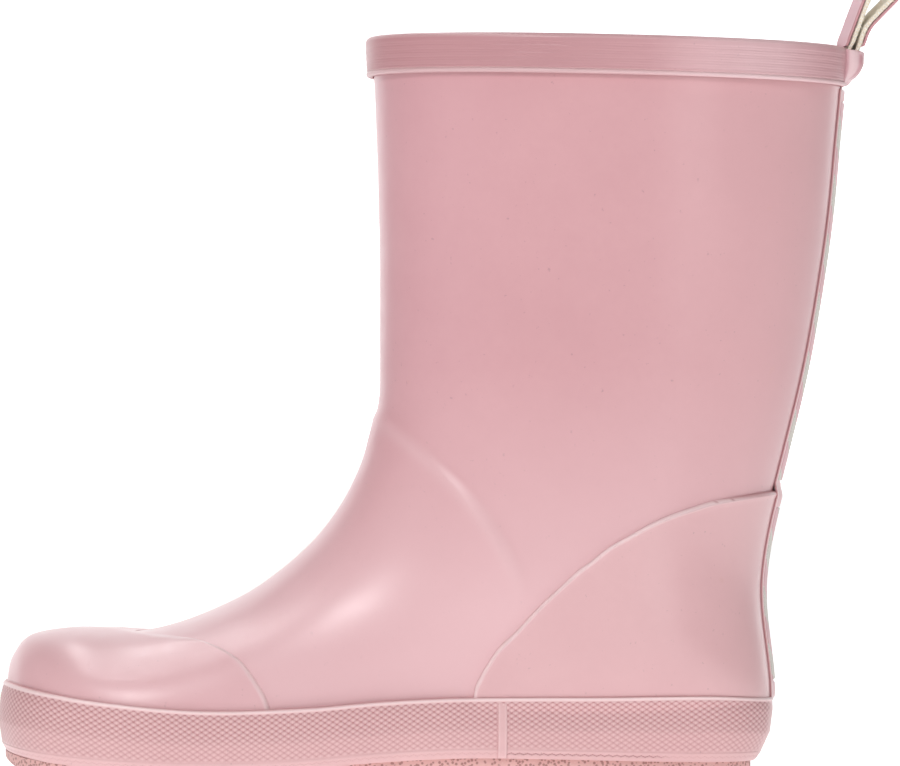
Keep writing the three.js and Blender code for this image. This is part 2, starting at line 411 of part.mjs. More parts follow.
// Joint strip on the medial side.
const JOINT_X = 9.3;
const jointArea = (d) => block(JOINT_X - 1.2 - d, JOINT_X + 1.2 + d, -60, -5, 0, 40);
const proud = torus([...levels.map(([s, d]) => ringAt(s, (p) => d(p) + 0.45)), ringAt(1.0, 0.2), ringAt(0.0, 0.2)]);
const jointBody = proud.intersect(jointArea(0)).subtract(torus([...levels.map(([s, d]) => ringAt(s === 0 ? -0.02 : s === 1 ? 1.02 : s, (p) => d(p) - 0.5)), ringAt(1.02, -3), ringAt(-0.02, -3)])).subtract(foxClear);
const jointPocket = torus([...levels.map(([s, d]) => ringAt(s === 0 ? -0.05 : s === 1 ? 1.05 : s, (p) => d(p) + 2)), ringAt(1.05, 0.2), ringAt(-0.05, 0.2)])
  .subtract(torus([...levels.map(([s, d]) => ringAt(s === 0 ? -0.1 : s === 1 ? 1.1 : s, (p) => d(p) - 0.6 - GAP)), ringAt(1.1, -3), ringAt(-0.1, -3)]))
  .intersect(jointArea(GAP));
piece("foxing_tape", largest(foxBody.subtract(jointPocket)), "sole");
piece("foxing_joint_strip", largest(jointBody), "sole");

// Outsole with its tread, one moulding.
const outsolePlan = (d) => upright(moved(PLAN, (p) => d - 2.4 * heelTuck(p) + 1.8 * toeBulge(p)), -5, 30);
const rimTrim = torus([ringAt(-0.02, (p) => 6), ringAt(1.2, (p) => 6), ringAt(1.2, -1.5 - GAP), ringAt(-0.02, (p) => -1.5 - GAP - 1.5 * heelTuck(p))]);
const plateBody = outsolePlan(-0.2).intersect(between(SOLE_PLATE, 0, SOLE_TOP, 0, 24)).subtract(rimTrim.intersect(above(FOX_BOTTOM, -GAP - 0.2, 44)));
const bars = [];
for (let x = -98; x <= -30; x += 9.4) bars.push([x, 5.6]);
for (let x = 24; x <= 74; x += 9.4) bars.push([x, 5.6]);
let tread = null;
for (const [x, wdt] of bars) {
  const y = 60, bend = 5;
  const g = [[x, -y], [x + bend, 0], [x, y], [x + wdt, y], [x + wdt + bend, 0], [x + wdt, -y]];
  const bar = upright(g, -4, 8);
  tread = tread ? tread.add(bar) : bar;
}
const rimRing = outsolePlan(-0.2).subtract(upright(moved(PLAN, (p) => -4.6 - 2.4 * heelTuck(p) + 1.8 * toeBulge(p)), -6, 31)).subtract(block(-28, 18, -60, 60, -5, 30));
const lugLayer = across([...sampled(TREAD_BASE, 0, 44), ...sampled(SOLE_PLATE, 0.6, 24).reverse()]);
const lugs = tread.intersect(outsolePlan(-0.2)).add(rimRing).intersect(lugLayer);
const foxLow = foxing.translate([0, 0, -GAP]);
piece("outsole", largest(plateBody.add(lugs).subtract(foxLow).intersect(block(-130, 130, -60, 60, 0, 30))), "outsole");

// Fillers between the outsole and the lasted upper, the board and the removable insole.
const under = (curve, lift, n) => across([...sampled(curve, lift, n), [83, -10], [-118, -10]]);
const inFox = upright(moved(PLAN, (p) => -1.5 - GAP - 1.5 * heelTuck(p)), -5, 40);
const overSole = across([...sampled(SOLE_TOP, GAP, 24), [83, 40], [-118, 40]]);
const lastedClear = sock(GAP).add(sock(GAP + T_LAYER + GAP).intersect(toeRegion(GAP).add(heelRegion(GAP))));
const heelHalf = (x) => block(x, 100, -60, 60, -5, 40);
piece("heel_wedge", largest(inFox.intersect(overSole).intersect(under(WEDGE_TOP, 0, 24)).intersect(heelHalf(2)).subtract(lastedClear)), "sponge");
piece("midsole_filler", largest(holeFill.intersect(overSole).intersect(under(BED, -BOARD_T - 2 * GAP, 22)).subtract(heelHalf(2 - GAP).intersect(under(WEDGE_TOP, GAP, 24)))), "sponge");
piece("insole_board", largest(sock(LINING_IN - GAP).intersect(under(BED, 0, 22))), "board");
const bedIn = sock(LINING_IN - 2.4);
piece("insole_foam", largest(bedIn.intersect(between(BED, GAP, BED, GAP + FOAM_T, 22))), "sponge");
piece("insole_cover", largest(bedIn.intersect(between(BED, GAP + FOAM_T + GAP, BED, GAP + FOAM_T + GAP + COVER_T, 22))), "lining");

export default bootGroup;
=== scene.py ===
"""Child's pull-on rubber boot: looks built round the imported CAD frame."""

import math

import bpy
import numpy as np
from mathutils import Matrix, Vector


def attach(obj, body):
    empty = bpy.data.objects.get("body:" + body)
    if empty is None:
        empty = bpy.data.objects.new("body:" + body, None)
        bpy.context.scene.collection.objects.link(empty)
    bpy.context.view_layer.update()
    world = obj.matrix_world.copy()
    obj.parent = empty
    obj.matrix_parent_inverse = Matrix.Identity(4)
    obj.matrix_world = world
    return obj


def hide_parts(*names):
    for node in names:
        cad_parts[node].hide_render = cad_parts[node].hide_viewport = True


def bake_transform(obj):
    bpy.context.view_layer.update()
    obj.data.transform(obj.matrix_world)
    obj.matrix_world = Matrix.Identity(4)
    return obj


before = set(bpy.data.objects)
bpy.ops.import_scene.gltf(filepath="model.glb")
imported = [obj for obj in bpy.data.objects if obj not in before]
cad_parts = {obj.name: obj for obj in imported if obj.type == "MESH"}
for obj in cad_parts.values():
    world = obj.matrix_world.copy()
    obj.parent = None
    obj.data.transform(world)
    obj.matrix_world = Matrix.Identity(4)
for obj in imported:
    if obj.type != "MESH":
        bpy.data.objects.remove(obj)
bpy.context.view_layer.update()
MM = 0.001
SHIFT = np.array([-0.4, 0.6, 0.0])  # the CAD group's own placing, in millimetres
RNG = np.random.default_rng(7)

# ---------------------------------------------------------------- camera
cam_data = bpy.data.cameras.new("camera")
cam_data.sensor_width = 36.0
cam_data.lens = 205.4
cam_data.clip_start, cam_data.clip_end = 0.05, 60.0
camera = bpy.data.objects.new("camera", cam_data)
bpy.context.scene.collection.objects.link(camera)
camera.location = (-0.003945, -1.2994, 0.10103)
camera.rotation_euler = (math.radians(90), 0, 0)
bpy.context.scene.camera = camera

# ---------------------------------------------------------------- dimensions (mm, as in the CAD)
GAP, T_UPPER, T_LAYER, T_BAND = 0.3, 1.4, 1.0, 1.5
LINING_OUT, LINING_IN = -1.7, -3.5
STRIP_HALF, TAPE_HALF, COUNTER_TOP = 6.5, 5.8, 73.4
FOX_THICK, MARGIN = 2.2, 11.0
ROWS = np.array([
    [-113.9, 19.7, -113.9, 19.7, 0.42, 0.0, 2.2, 2.6, -5.0],
    [-113.7, 25.3, -113.7, 15.7, 0.42, 4.6, 2.2, 2.8, -5.0],
    [-113.2, 29.9, -112.7, 13.7, 0.4, 8.6, 2.2, 3.0, -5.0],
    [-112.2, 32.4, -111.1, 12.7, 0.38, 13.0, 2.2, 3.4, -4.9],
    [-110.4, 35.1, -108.6, 12.2, 0.37, 17.8, 2.2, 3.9, -4.8],
    [-107.6, 36.8, -105.1, 11.6, 0.36, 22.6, 2.2, 4.4, -4.6],
    [-102.8, 37.7, -100.0, 11.0, 0.35, 27.4, 2.2, 4.9, -4.2],
    [-96.0, 38.2, -93.2, 10.3, 0.33, 31.3, 2.2, 5.2, -3.6],
    [-87.6, 38.0, -84.8, 9.5, 0.31, 34.1, 2.2, 5.5, -2.7],
    [-78.7, 38.9, -75.7, 9.0, 0.3, 35.7, 2.2, 5.6, -1.7],
    [-69.9, 41.3, -66.1, 8.7, 0.29, 36.2, 2.2, 5.6, -0.6],
    [-61.5, 44.7, -56.0, 8.7, 0.29, 35.8, 2.2, 5.6, 0.3],
    [-53.9, 48.6, -44.6, 9.1, 0.3, 34.6, 2.2, 5.5, 1.0],
    [-46.8, 53.6, -31.9, 9.7, 0.32, 32.9, 2.2, 5.3, 1.5],
    [-40.5, 59.0, -18.0, 10.6, 0.34, 31.3, 2.2, 5.0, 1.7],
    [-35.2, 64.8, -2.8, 11.8, 0.36, 30.2, 2.2, 4.7, 1.7],
    [-31.1, 70.6, 12.9, 12.5, 0.38, 29.7, 2.2, 4.4, 1.5],
    [-28.1, 76.2, 28.9, 12.9, 0.41, 29.6, 2.2, 4.0, 1.2],
    [-25.8, 81.5, 44.6, 13.0, 0.44, 29.7, 2.2, 3.6, 0.8],
    [-24.1, 86.6, 58.5, 13.0, 0.46, 29.7, 2.2, 3.2, 0.5],
    [-22.8, 90.9, 68.6, 13.4, 0.48, 29.6, 2.2, 2.9, 0.3],
    [-21.9, 94.7, 74.0, 15.7, 0.49, 29.4, 2.2, 2.7, 0.1],
    [-21.4, 98.5, 75.9, 20.0, 0.5, 29.3, 2.2, 2.6, 0.0],
    [-21.3, 102.8, 76.0, 26.1, 0.5, 29.3, 2.2, 2.5, 0.0],
    [-21.3, 107.6, 75.2, 33.7, 0.5, 29.4, 2.2, 2.45, 0.0],
    [-21.3, 113.2, 74.1, 43.5, 0.5, 29.6, 2.2, 2.4, 0.0],
    [-21.3, 119.5, 74.1, 52.2, 0.5, 30.0, 2.2, 2.35, 0.0],
    [-21.3, 126.3, 75.5, 62.0, 0.5, 30.6, 2.2, 2.3, 0.0],
    [-21.3, 133.7, 77.8, 71.9, 0.5, 31.2, 2.2, 2.25, 0.0],
    [-21.5, 141.5, 80.3, 81.5, 0.5, 31.9, 2.2, 2.2, 0.0],
    [-21.7, 149.6, 82.9, 91.9, 0.5, 32.6, 2.2, 2.2, 0.0],
    [-21.9, 157.5, 85.4, 102.5, 0.5, 33.4, 2.2, 2.2, 0.0],
    [-22.2, 164.6, 87.6, 113.7, 0.5, 34.1, 2.2, 2.2, 0.0],
    [-22.4, 170.1, 89.6, 125.6, 0.5, 34.8, 2.2, 2.2, 0.0],
    [-22.6, 174.7, 91.3, 137.0, 0.5, 35.4, 2.2, 2.2, 0.0],
    [-22.8, 178.2, 92.7, 148.9, 0.5, 35.9, 2.2, 2.2, 0.0],
    [-23.0, 181.3, 93.7, 160.3, 0.5, 36.3, 2.2, 2.2, 0.0],
    [-23.1, 183.9, 94.8, 171.7, 0.5, 36.6, 2.2, 2.2, 0.0],
    [-23.2, 187.2, 95.6, 182.2, 0.5, 36.8, 2.2, 2.2, 0.0],
    [-23.3, 192.6, 96.2, 192.2, 0.5, 36.9, 2.2, 2.2, 0.0],
])
TOP_FRONT, TOP_BACK = (-24.5, 188.3), (98.0, 185.5)
BAND_H, BAND_IN_H = 9.9, 8.0
TOE_LINE = [[-84.8, 50], [-84.6, 39.4], [-78, 39.2], [-67.5, 38.2], [-61.6, 36.3], [-58.0, 34.4], [-55.2, 32.2], [-53.0, 29.4], [-51.3, 26.8], [-49.8, 24.4], [-48.5, 21.4], [-46.8, 16.0], [-46.0, 10.0]]
COUNTER_LINE = [[1.6, 10.0], [1.9, 18.0], [2.4, 24.5], [3.9, 27.9], [5.4, 30.7], [8.2, 34.9], [12.3, 38.9], [16.3, 43.3], [19.7, 46.8], [23.2, 50.0], [27.9, 54.2], [31.9, 57.2], [35.9, 60.4], [40.8, 63.1], [45.0, 65.4], [49.2, 67.3], [53.2, 68.8], [57.4, 70.1], [61.6, 71.3], [66.3, 72.1], [71.2, 72.8], [76.0, 73.4], [82, 74.0], [90, 74.6]]
RIDGE_LINE = [[-26, 95.0], [-21.0, 93.0], [-12, 86.0], [-5.5, 80.5], [0.7, 74.0], [7.0, 66.3], [11.8, 58.5], [14.8, 50.0], [15.5, 40.0], [13.8, 28.0], [12.5, 18.0]]
FOX_TOP = [[-118, 26.9], [-112, 26.2], [-103, 24.7], [-90, 22.7], [-65, 20.5], [-39, 20.9], [-22, 22.2], [-5, 23.0], [12, 23.2], [34, 23.2], [60, 23.3], [72, 22.4], [83, 21.0]]
FOX_BOTTOM = [[-118, 9.6], [-108, 7.9], [-90, 6.2], [-65, 5.2], [-45, 5.4], [-20, 7.2], [0, 8.0], [20, 7.7], [50, 6.8], [83, 6.0]]
SOLE_TOP = [[-118, 13.2], [-108, 11.0], [-90, 8.9], [-65, 7.6], [-45, 7.8], [-20, 9.3], [0, 9.8], [20, 9.5], [50, 8.8], [83, 8.2]]
SOLE_PLATE = [[-118, 9.5], [-108, 6.6], [-90, 4.0], [-65, 3.0], [-45, 3.0], [-20, 4.6], [0, 5.4], [20, 5.0], [34, 3.4], [50, 3.0], [83, 3.0]]
TREAD_BASE = [[-118, 8.2], [-112, 5.4], [-104, 2.6], [-94, 0.7], [-86, -0.2], [-76, -0.3], [-40, -0.3], [-30, 0.1], [-18, 1.6], [-8, 2.9], [8, 3.0], [18, 1.4], [20, -0.2], [30, -0.3], [62, -0.3], [72, -0.2], [79, 0.8], [83, 2.2]]
BED = [[-118, 18.6], [-108, 17.5], [-90, 15.2], [-65, 14.1], [-45, 14.5], [-20, 15.9], [0, 17.3], [20, 18.1], [50, 18.5], [83, 18.8]]


def smooth(t):
    t = np.clip(t, 0.0, 1.0)
    return t * t * (3 - 2 * t)


# ---------------------------------------------------------------- the last's outer face
def _seconds(v):
    n = len(v)
    m, c, d = np.zeros_like(v), np.zeros(n), np.zeros_like(v)
    for i in range(1, n - 1):
        r = 6 * (v[i + 1] - 2 * v[i] + v[i - 1])
        p = 4 - c[i - 1]
        c[i] = 1 / p
        d[i] = (r - d[i - 1]) / p
    for i in range(n - 2, 0, -1):
        m[i] = d[i] - c[i] * m[i + 1]
    return m


SECONDS = _seconds(ROWS)


def surf(u, deg, off=0.0):
    """Points of the lofted outer face moved outwards by off, in CAD millimetres."""
    u, deg, off = np.broadcast_arrays(np.asarray(u, float), np.asarray(deg, float), np.asarray(off, float))
    uc = np.clip(u, 0, 39)
    i = np.clip(np.floor(uc).astype(int), 0, 38)
    t = (uc - i)[..., None]
    s = 1 - t
    v = s * ROWS[i] + t * ROWS[i + 1] + ((s**3 - s) * SECONDS[i] + (t**3 - t) * SECONDS[i + 1]) / 6
    g = ROWS[i + 1] - ROWS[i] + ((1 - 3 * s * s) * SECONDS[i] + (3 * t * t - 1) * SECONDS[i + 1]) / 6
    xf, zf, xb, zb, mid, w, nu, nl, yc = np.moveaxis(v, -1, 0)
    dxf, dzf, dxb, dzb, _, dw = np.moveaxis(g[..., :6], -1, 0)
    dm = g[..., 4]
    lf, lb = np.hypot(dxf, dzf) + 1e-12, np.hypot(dxb, dzb) + 1e-12
    dx = dxb + dm * (xf - xb) + mid * (dxf - dxb)
    ny = np.minimum(1, np.abs(dx) / (np.hypot(dx, dw) + 1e-12))
    side = ny + (1 - ny) * smooth((u - 18) / 4)
    fx, fz = xf - dzf / lf * off, zf + dxf / lf * off
    bx, bz = xb + dzb / lb * off, zb - dxb / lb * off
    W = np.maximum(0, w + side * off)
    a = np.radians(deg)
    c, n0 = np.cos(a), np.sin(a)
    n = np.where(c > 0, nl, nu)
    r = (np.abs(c) ** n + np.abs(n0) ** n) ** (-1 / n)
    along = np.where(c > 0, mid * (1 - c * r), mid + (1 - mid) * -c * r)
    return np.stack([bx + along * (fx - bx), yc - W * n0 * r, bz + along * (fz - bz)], -1)


def along(points, x):
    """A side-view curve's height at x, as the CAD reads it."""
    p = np.asarray(points, float)
    x = np.asarray(x, float)
    i = np.clip(np.searchsorted(p[:, 0], x), 1, len(p) - 1)
    p0, p1, p2, p3 = p[np.maximum(0, i - 2)], p[i - 1], p[i], p[np.minimum(len(p) - 1, i + 1)]
    h = p2[..., 0] - p1[..., 0]
    t = np.clip((x - p1[..., 0]) / h, 0, 1)
    m1 = (p2[..., 1] - p0[..., 1]) / (p2[..., 0] - p0[..., 0]) * h
    m2 = (p3[..., 1] - p1[..., 1]) / (p3[..., 0] - p1[..., 0]) * h
    return (2 * t**3 - 3 * t * t + 1) * p1[..., 1] + (t**3 - 2 * t * t + t) * m1 + (-2 * t**3 + 3 * t * t) * p2[..., 1] + (t**3 - t * t) * m2


def rim(x, drop):
    k = (TOP_BACK[1] - TOP_FRONT[1]) / (TOP_BACK[0] - TOP_FRONT[0])
    return TOP_FRONT[1] + k * (x - TOP_FRONT[0]) - drop


def rounded(points, n=240):
    """A Catmull-Rom line through the points, evenly sampled."""
    p = np.asarray(points, float)
    q = np.vstack([2 * p[0] - p[1], p, 2 * p[-1] - p[-2]])
    out = []
    for i in range(1, len(q) - 2):
        t = np.linspace(0, 1, 12, endpoint=False)[:, None]
        a, b, c, d = q[i - 1], q[i], q[i + 1], q[i + 2]
        out.append(0.5 * (2 * b + (c - a) * t + (2 * a - 5 * b + 4 * c - d) * t**2 + (3 * b - a - 3 * c + d) * t**3))
    out = np.vstack(out + [p[-1:]])
    run = np.concatenate([[0], np.cumsum(np.linalg.norm(np.diff(out, axis=0), axis=1))])
    s = np.linspace(0, run[-1], n)
    return np.stack([np.interp(s, run, out[:, k]) for k in range(p.shape[1])], -1)


def polyline(points, q, closed=False):
    """Signed distance of 2-D points q from a polyline: positive on its left. A closed line is positive inside, however it runs."""
    p = np.asarray(points, float)
    a = p if closed else p[:-1]
    b = np.roll(p, -1, 0) if closed else p[1:]
    d = b - a
    ll = (d * d).sum(1) + 1e-12
    out = np.empty(len(q))
    for k in range(0, len(q), 4000):
        r = q[k : k + 4000, None, :] - a[None]
        t = np.clip((r * d).sum(2) / ll, 0, 1)
        e = r - t[..., None] * d
        dist = (e * e).sum(2)
        j = dist.argmin(1)
        i = np.arange(len(j))
        best = np.sqrt(dist[i, j])
        if closed:
            y0, y1 = a[:, 1][None], b[:, 1][None]
            py, px = q[k : k + 4000, 1][:, None], q[k : k + 4000, 0][:, None]
            hit = (y0 > py) != (y1 > py)
            xs = a[:, 0][None] + (py - y0) / np.where(np.abs(y1 - y0) < 1e-12, 1e-12, y1 - y0) * d[:, 0][None]
            inside = (hit & (px < xs)).sum(1) % 2 == 1
            out[k : k + 4000] = np.where(inside, best, -best)
        else:
            cross = d[j, 0] * r[i, j, 1] - d[j, 1] * r[i, j, 0]
            out[k : k + 4000] = np.where(cross >= 0, best, -best)
    return out


TOE_R, COUNTER_R, RIDGE_R = rounded(TOE_LINE), rounded(COUNTER_LINE), rounded(RIDGE_LINE)


# ---------------------------------------------------------------- cutting a mesh along a function
def cut(P, T, func, level=0.0, refine=2, tol=1e-6):
    """Splits the triangles along func(P) == level. P holds each vertex's parameters."""
    f = func(P) - level
    f[np.abs(f) < tol] = 0.0
    E = np.sort(np.concatenate([T[:, [0, 1]], T[:, [1, 2]], T[:, [2, 0]]]), axis=1)
    cross = f[E[:, 0]] * f[E[:, 1]] < 0
    if not cross.any():
        return P, T
    key = E[:, 0].astype(np.int64) * len(P) + E[:, 1]
    uk, inv = np.unique(key[cross], return_inverse=True)
    a, b = (uk // len(P)).astype(int), (uk % len(P)).astype(int)
    lo, hi, flo, fhi = np.zeros(len(a)), np.ones(len(a)), f[a].copy(), f[b].copy()
    for _ in range(refine + 1):
        t = lo + (hi - lo) * flo / (flo - fhi)
        Q = P[a] + t[:, None] * (P[b] - P[a])
        if _ == refine:
            break
        fq = func(Q) - level
        same = fq * flo > 0
        lo, flo = np.where(same, t, lo), np.where(same, fq, flo)
        hi, fhi = np.where(same, hi, t), np.where(same, fhi, fq)
    idx = np.full(len(E), -1)
    idx[cross] = len(P) + inv
    idx = idx.reshape(3, len(T)).T
    n = (idx >= 0).sum(1)
    out = [T[n == 0]]
    for k in range(3):
        m = (n == 1) & (idx[:, k] >= 0)
        A, B, C, r = T[m][:, k], T[m][:, (k + 1) % 3], T[m][:, (k + 2) % 3], idx[m][:, k]
        out += [np.stack([A, r, C], 1), np.stack([r, B, C], 1)]
        m = (n == 2) & (idx[:, k] >= 0) & (idx[:, (k + 2) % 3] >= 0)
        A, B, C, p, q = T[m][:, k], T[m][:, (k + 1) % 3], T[m][:, (k + 2) % 3], idx[m][:, k], idx[m][:, (k + 2) % 3]
        out += [np.stack([A, p, q], 1), np.stack([p, B, C], 1), np.stack([p, C, q], 1)]
    return np.vstack([P, Q]), np.vstack(out)


def keep(P, T, func, level=0.0):
    """The triangles where func(P) is over level, with the vertices that they use."""
    f = func(P) - level
    v = f[T]
    big = np.take_along_axis(v, np.abs(v).argmax(1)[:, None], 1)[:, 0]
    return used(P, T[big > 0])


def used(P, T):
    ids, inv = np.unique(T, return_inverse=True)
    return P[ids], inv.reshape(T.shape)


def trim(P, T, func, level=0.0, refine=2):
    P, T = cut(P, T, func, level, refine)
    return keep(P, T, func, level)


def weld(P, T, wrap=None, step=1e-5):
    """Joins vertices with the same parameters; wrap = (column, period)."""
    K = P.copy()
    if wrap:
        K[:, wrap[0]] = np.mod(K[:, wrap[0]] + 1e-7, wrap[1]) - 1e-7
    K = np.round(K / step).astype(np.int64)
    _, first, inv = np.unique(K, axis=0, return_index=True, return_inverse=True)
    T = inv.reshape(-1)[T]
    T = T[(T[:, 0] != T[:, 1]) & (T[:, 1] != T[:, 2]) & (T[:, 2] != T[:, 0])]
    return used(P[first], T)


def grid(us, vs, diagonal=True):
    """Parameters and triangles of a plain grid."""
    U, V = np.meshgrid(us, vs, indexing="ij")
    P = np.stack([U.ravel(), V.ravel()], 1)
    n, m = len(us), len(vs)
    i, j = np.meshgrid(np.arange(n - 1), np.arange(m - 1), indexing="ij")
    a = (i * m + j).ravel()
    b, c, d = a + m, a + m + 1, a + 1
    flip = ((i + j) % 2 == 0).ravel() if diagonal else np.ones(len(a), bool)
    T = np.vstack([
        np.stack([a, b, c], 1)[flip], np.stack([a, c, d], 1)[flip],
        np.stack([a, b, d], 1)[~flip], np.stack([b, c, d], 1)[~flip],
    ])
    return P, T


def boundary(T):
    """Directed edges that have a triangle on one side only."""
    E = np.concatenate([T[:, [0, 1]], T[:, [1, 2]], T[:, [2, 0]]])
    n = T.max() + 1
    key, rev = E[:, 0] * n + E[:, 1], E[:, 1] * n + E[:, 0]
    return E[~np.isin(key, rev)]


def shell(T, outer, inner):
    """A closed body between two copies of one open mesh."""
    n = len(outer)
    B = boundary(T)
    a, b = B[:, 0], B[:, 1]
    walls = np.vstack([np.stack([b, a, a + n], 1), np.stack([b, a + n, b + n], 1)])
    return np.vstack([outer, inner]), np.vstack([T, T[:, ::-1] + n, walls])


def loops(E):
    """Directed boundary edges as closed runs of vertices."""
    nxt = {int(a): int(b) for a, b in E}
    out = []
    while nxt:
        start, now = next(iter(nxt.items()))
        run = [start]
        del nxt[start]
        while now != start and now in nxt:
            run.append(now)
            now = nxt.pop(now)
        out.append(run)
    return out


def curve_distance(V, C):
    """Distance of 3-D points V from the nearest of the densely sampled points C's segments, given as (start, end) arrays."""
    a, b = C
    d = b - a
    ll = (d * d).sum(1) + 1e-12
    out = np.empty(len(V))
    for k in range(0, len(V), 2000):
        r = V[k : k + 2000, None, :] - a[None]
        t = np.clip((r * d).sum(2) / ll, 0, 1)
        e = r - t[..., None] * d
        out[k : k + 2000] = np.sqrt((e * e).sum(2).min(1))
    return out


# ---------------------------------------------------------------- making objects
def sharp_edges(mesh, degrees):
    n = len(mesh.polygons)
    nor = np.zeros(n * 3, np.float32)
    mesh.polygons.foreach_get("normal", nor)
    nor = nor.reshape(-1, 3)
    total = np.zeros(n, np.int32)
    mesh.polygons.foreach_get("loop_total", total)
    face = np.repeat(np.arange(n), total)
    edge = np.zeros(len(mesh.loops), np.int32)
    mesh.loops.foreach_get("edge_index", edge)
    order = np.argsort(edge, kind="stable")
    e, f = edge[order], face[order]
    pair = np.nonzero(e[1:] == e[:-1])[0]
    dots = (nor[f[pair]] * nor[f[pair + 1]]).sum(1)
    flags = np.zeros(len(mesh.edges), bool)
    flags[e[pair][dots < math.cos(math.radians(degrees))]] = True
    at = mesh.attributes.get("sharp_edge") or mesh.attributes.new("sharp_edge", "BOOLEAN", "EDGE")
    at.data.foreach_set("value", flags)


def make(name, V, F, material, body="boot", replaces=(), sharp=38, attributes=None, ride=True):
    """An object of the triangles or quads F over the CAD-frame points V, in millimetres."""
    V, F = np.asarray(V, float), np.asarray(F, np.int64)
    A, B, C = V[F[:, 0]], V[F[:, 1]], V[F[:, 2]]
    volume = np.einsum("ij,ij->i", A, np.cross(B, C)).sum()
    if F.shape[1] == 4:
        volume += np.einsum("ij,ij->i", A, np.cross(C, V[F[:, 3]])).sum()
    if volume < 0:
        F = F[:, ::-1]
    mesh = bpy.data.meshes.new(name)
    mesh.vertices.add(len(V))
    mesh.vertices.foreach_set("co", ((V + SHIFT) * MM).astype(np.float32).ravel())
    mesh.loops.add(F.size)
    mesh.loops.foreach_set("vertex_index", F.astype(np.int32).ravel())
    mesh.polygons.add(len(F))
    mesh.polygons.foreach_set("loop_start", (np.arange(len(F)) * F.shape[1]).astype(np.int32))
    mesh.polygons.foreach_set("loop_total", np.full(len(F), F.shape[1], np.int32))
    mesh.update(calc_edges=True)
    mesh.polygons.foreach_set("use_smooth", np.ones(len(F), bool))
    for key, value in (attributes or {}).items():
        at = mesh.attributes.new(key, "FLOAT", "POINT")
        at.data.foreach_set("value", np.asarray(value, np.float32))
    if sharp:
        sharp_edges(mesh, sharp)
    mesh.materials.append(material)
    obj = bpy.data.objects.new(name, mesh)
    bpy.context.scene.collection.objects.link(obj)
    if ride:
        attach(obj, body)
    if replaces:
        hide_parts(*replaces)
    return obj


def join(parts):
    """One list of vertices and triangles from several."""
    V, F, n = [], [], 0
    for v, f in parts:
        V.append(v)
        F.append(np.asarray(f) + n)
        n += len(v)
    return np.vstack(V), np.vstack(F)


# ---------------------------------------------------------------- materials
class Nodes:
    """A small helper round one material's node tree."""

    def __init__(self, name):
        self.mat = bpy.data.materials.new(name)
        self.mat.use_nodes = True
        self.tree = self.mat.node_tree
        self.tree.nodes.clear()
        self.out = self.tree.nodes.new("ShaderNodeOutputMaterial")
        self.bsdf = self.tree.nodes.new("ShaderNodeBsdfPrincipled")
        self.tree.links.new(self.bsdf.outputs[0], self.out.inputs[0])
        self.coord = self.tree.nodes.new("ShaderNodeTexCoord").outputs["Object"]
        self.normal = None

    def link(self, a, b):
        self.tree.links.new(a, b)

    def put(self, socket, value):
        if isinstance(value, (int, float, tuple, list)):
            if isinstance(value, (tuple, list)) and len(value) == 3 and socket.type == "RGBA":
                value = (*value, 1)
            socket.default_value = value
        else:
            self.link(value, socket)

    def noise(self, scale, detail=3, rough=0.55, coord=None, stretch=None, distortion=0.0):
        n = self.tree.nodes.new("ShaderNodeTexNoise")
        n.inputs["Scale"].default_value = scale
        n.inputs["Detail"].default_value = detail
        n.inputs["Roughness"].default_value = rough
        n.inputs["Distortion"].default_value = distortion
        src = coord or self.coord
        if stretch:
            m = self.tree.nodes.new("ShaderNodeMapping")
            m.inputs["Scale"].default_value = stretch
            self.link(src, m.inputs["Vector"])
            src = m.outputs[0]
        self.link(src, n.inputs["Vector"])
        return n.outputs["Fac"]

    def voronoi(self, scale, feature="F1"):
        n = self.tree.nodes.new("ShaderNodeTexVoronoi")
        n.feature = feature
        n.inputs["Scale"].default_value = scale
        self.link(self.coord, n.inputs["Vector"])
        return n.outputs["Distance"]

    def math(self, op, a, b=0.0, c=0.0, clamp=False):
        n = self.tree.nodes.new("ShaderNodeMath")
        n.operation = op
        n.use_clamp = clamp
        for s, v in zip(n.inputs, (a, b, c)):
            self.put(s, v)
        return n.outputs[0]

    def ramp(self, x, lo, hi, a=0.0, b=1.0):
        n = self.tree.nodes.new("ShaderNodeMapRange")
        n.clamp = True
        for s, v in zip(n.inputs, (x, lo, hi, a, b)):
            self.put(s, v)
        return n.outputs[0]

    def mix(self, f, a, b):
        n = self.tree.nodes.new("ShaderNodeMix")
        n.data_type = "RGBA"
        self.put(n.inputs[0], f)
        self.put(n.inputs[6], a)
        self.put(n.inputs[7], b)
        return n.outputs[2]

    def attr(self, name):
        n = self.tree.nodes.new("ShaderNodeAttribute")
        n.attribute_name = name
        return n.outputs["Fac"]

    def xyz(self):
        n = self.tree.nodes.new("ShaderNodeSeparateXYZ")
        self.link(self.coord, n.inputs[0])
        return n.outputs

    def bump(self, height, strength, distance):
        n = self.tree.nodes.new("ShaderNodeBump")
        n.inputs["Strength"].default_value = strength
        n.inputs["Distance"].default_value = distance
        self.link(height, n.inputs["Height"])
        if self.normal is not None:
            self.link(self.normal, n.inputs["Normal"])
        self.normal = n.outputs[0]

    def done(self, colour, rough, coat=0.0, coat_rough=0.3, sheen=0.0, specular=0.5):
        b = self.bsdf
        self.put(b.inputs["Base Color"], colour)
        self.put(b.inputs["Roughness"], rough)
        b.inputs["Coat Weight"].default_value = coat
        b.inputs["Coat Roughness"].default_value = coat_rough
        b.inputs["Sheen Weight"].default_value = sheen
        b.inputs["Specular IOR Level"].default_value = specular
        if self.normal is not None:
            self.link(self.normal, b.inputs["Normal"])
        return self.mat


def srgb(r, g, b):
    c = np.array([r, g, b]) / 255.0
    c = np.where(c <= 0.04045, c / 12.92, ((c + 0.055) / 1.055) ** 2.4)
    return tuple(float(v) for v in c)


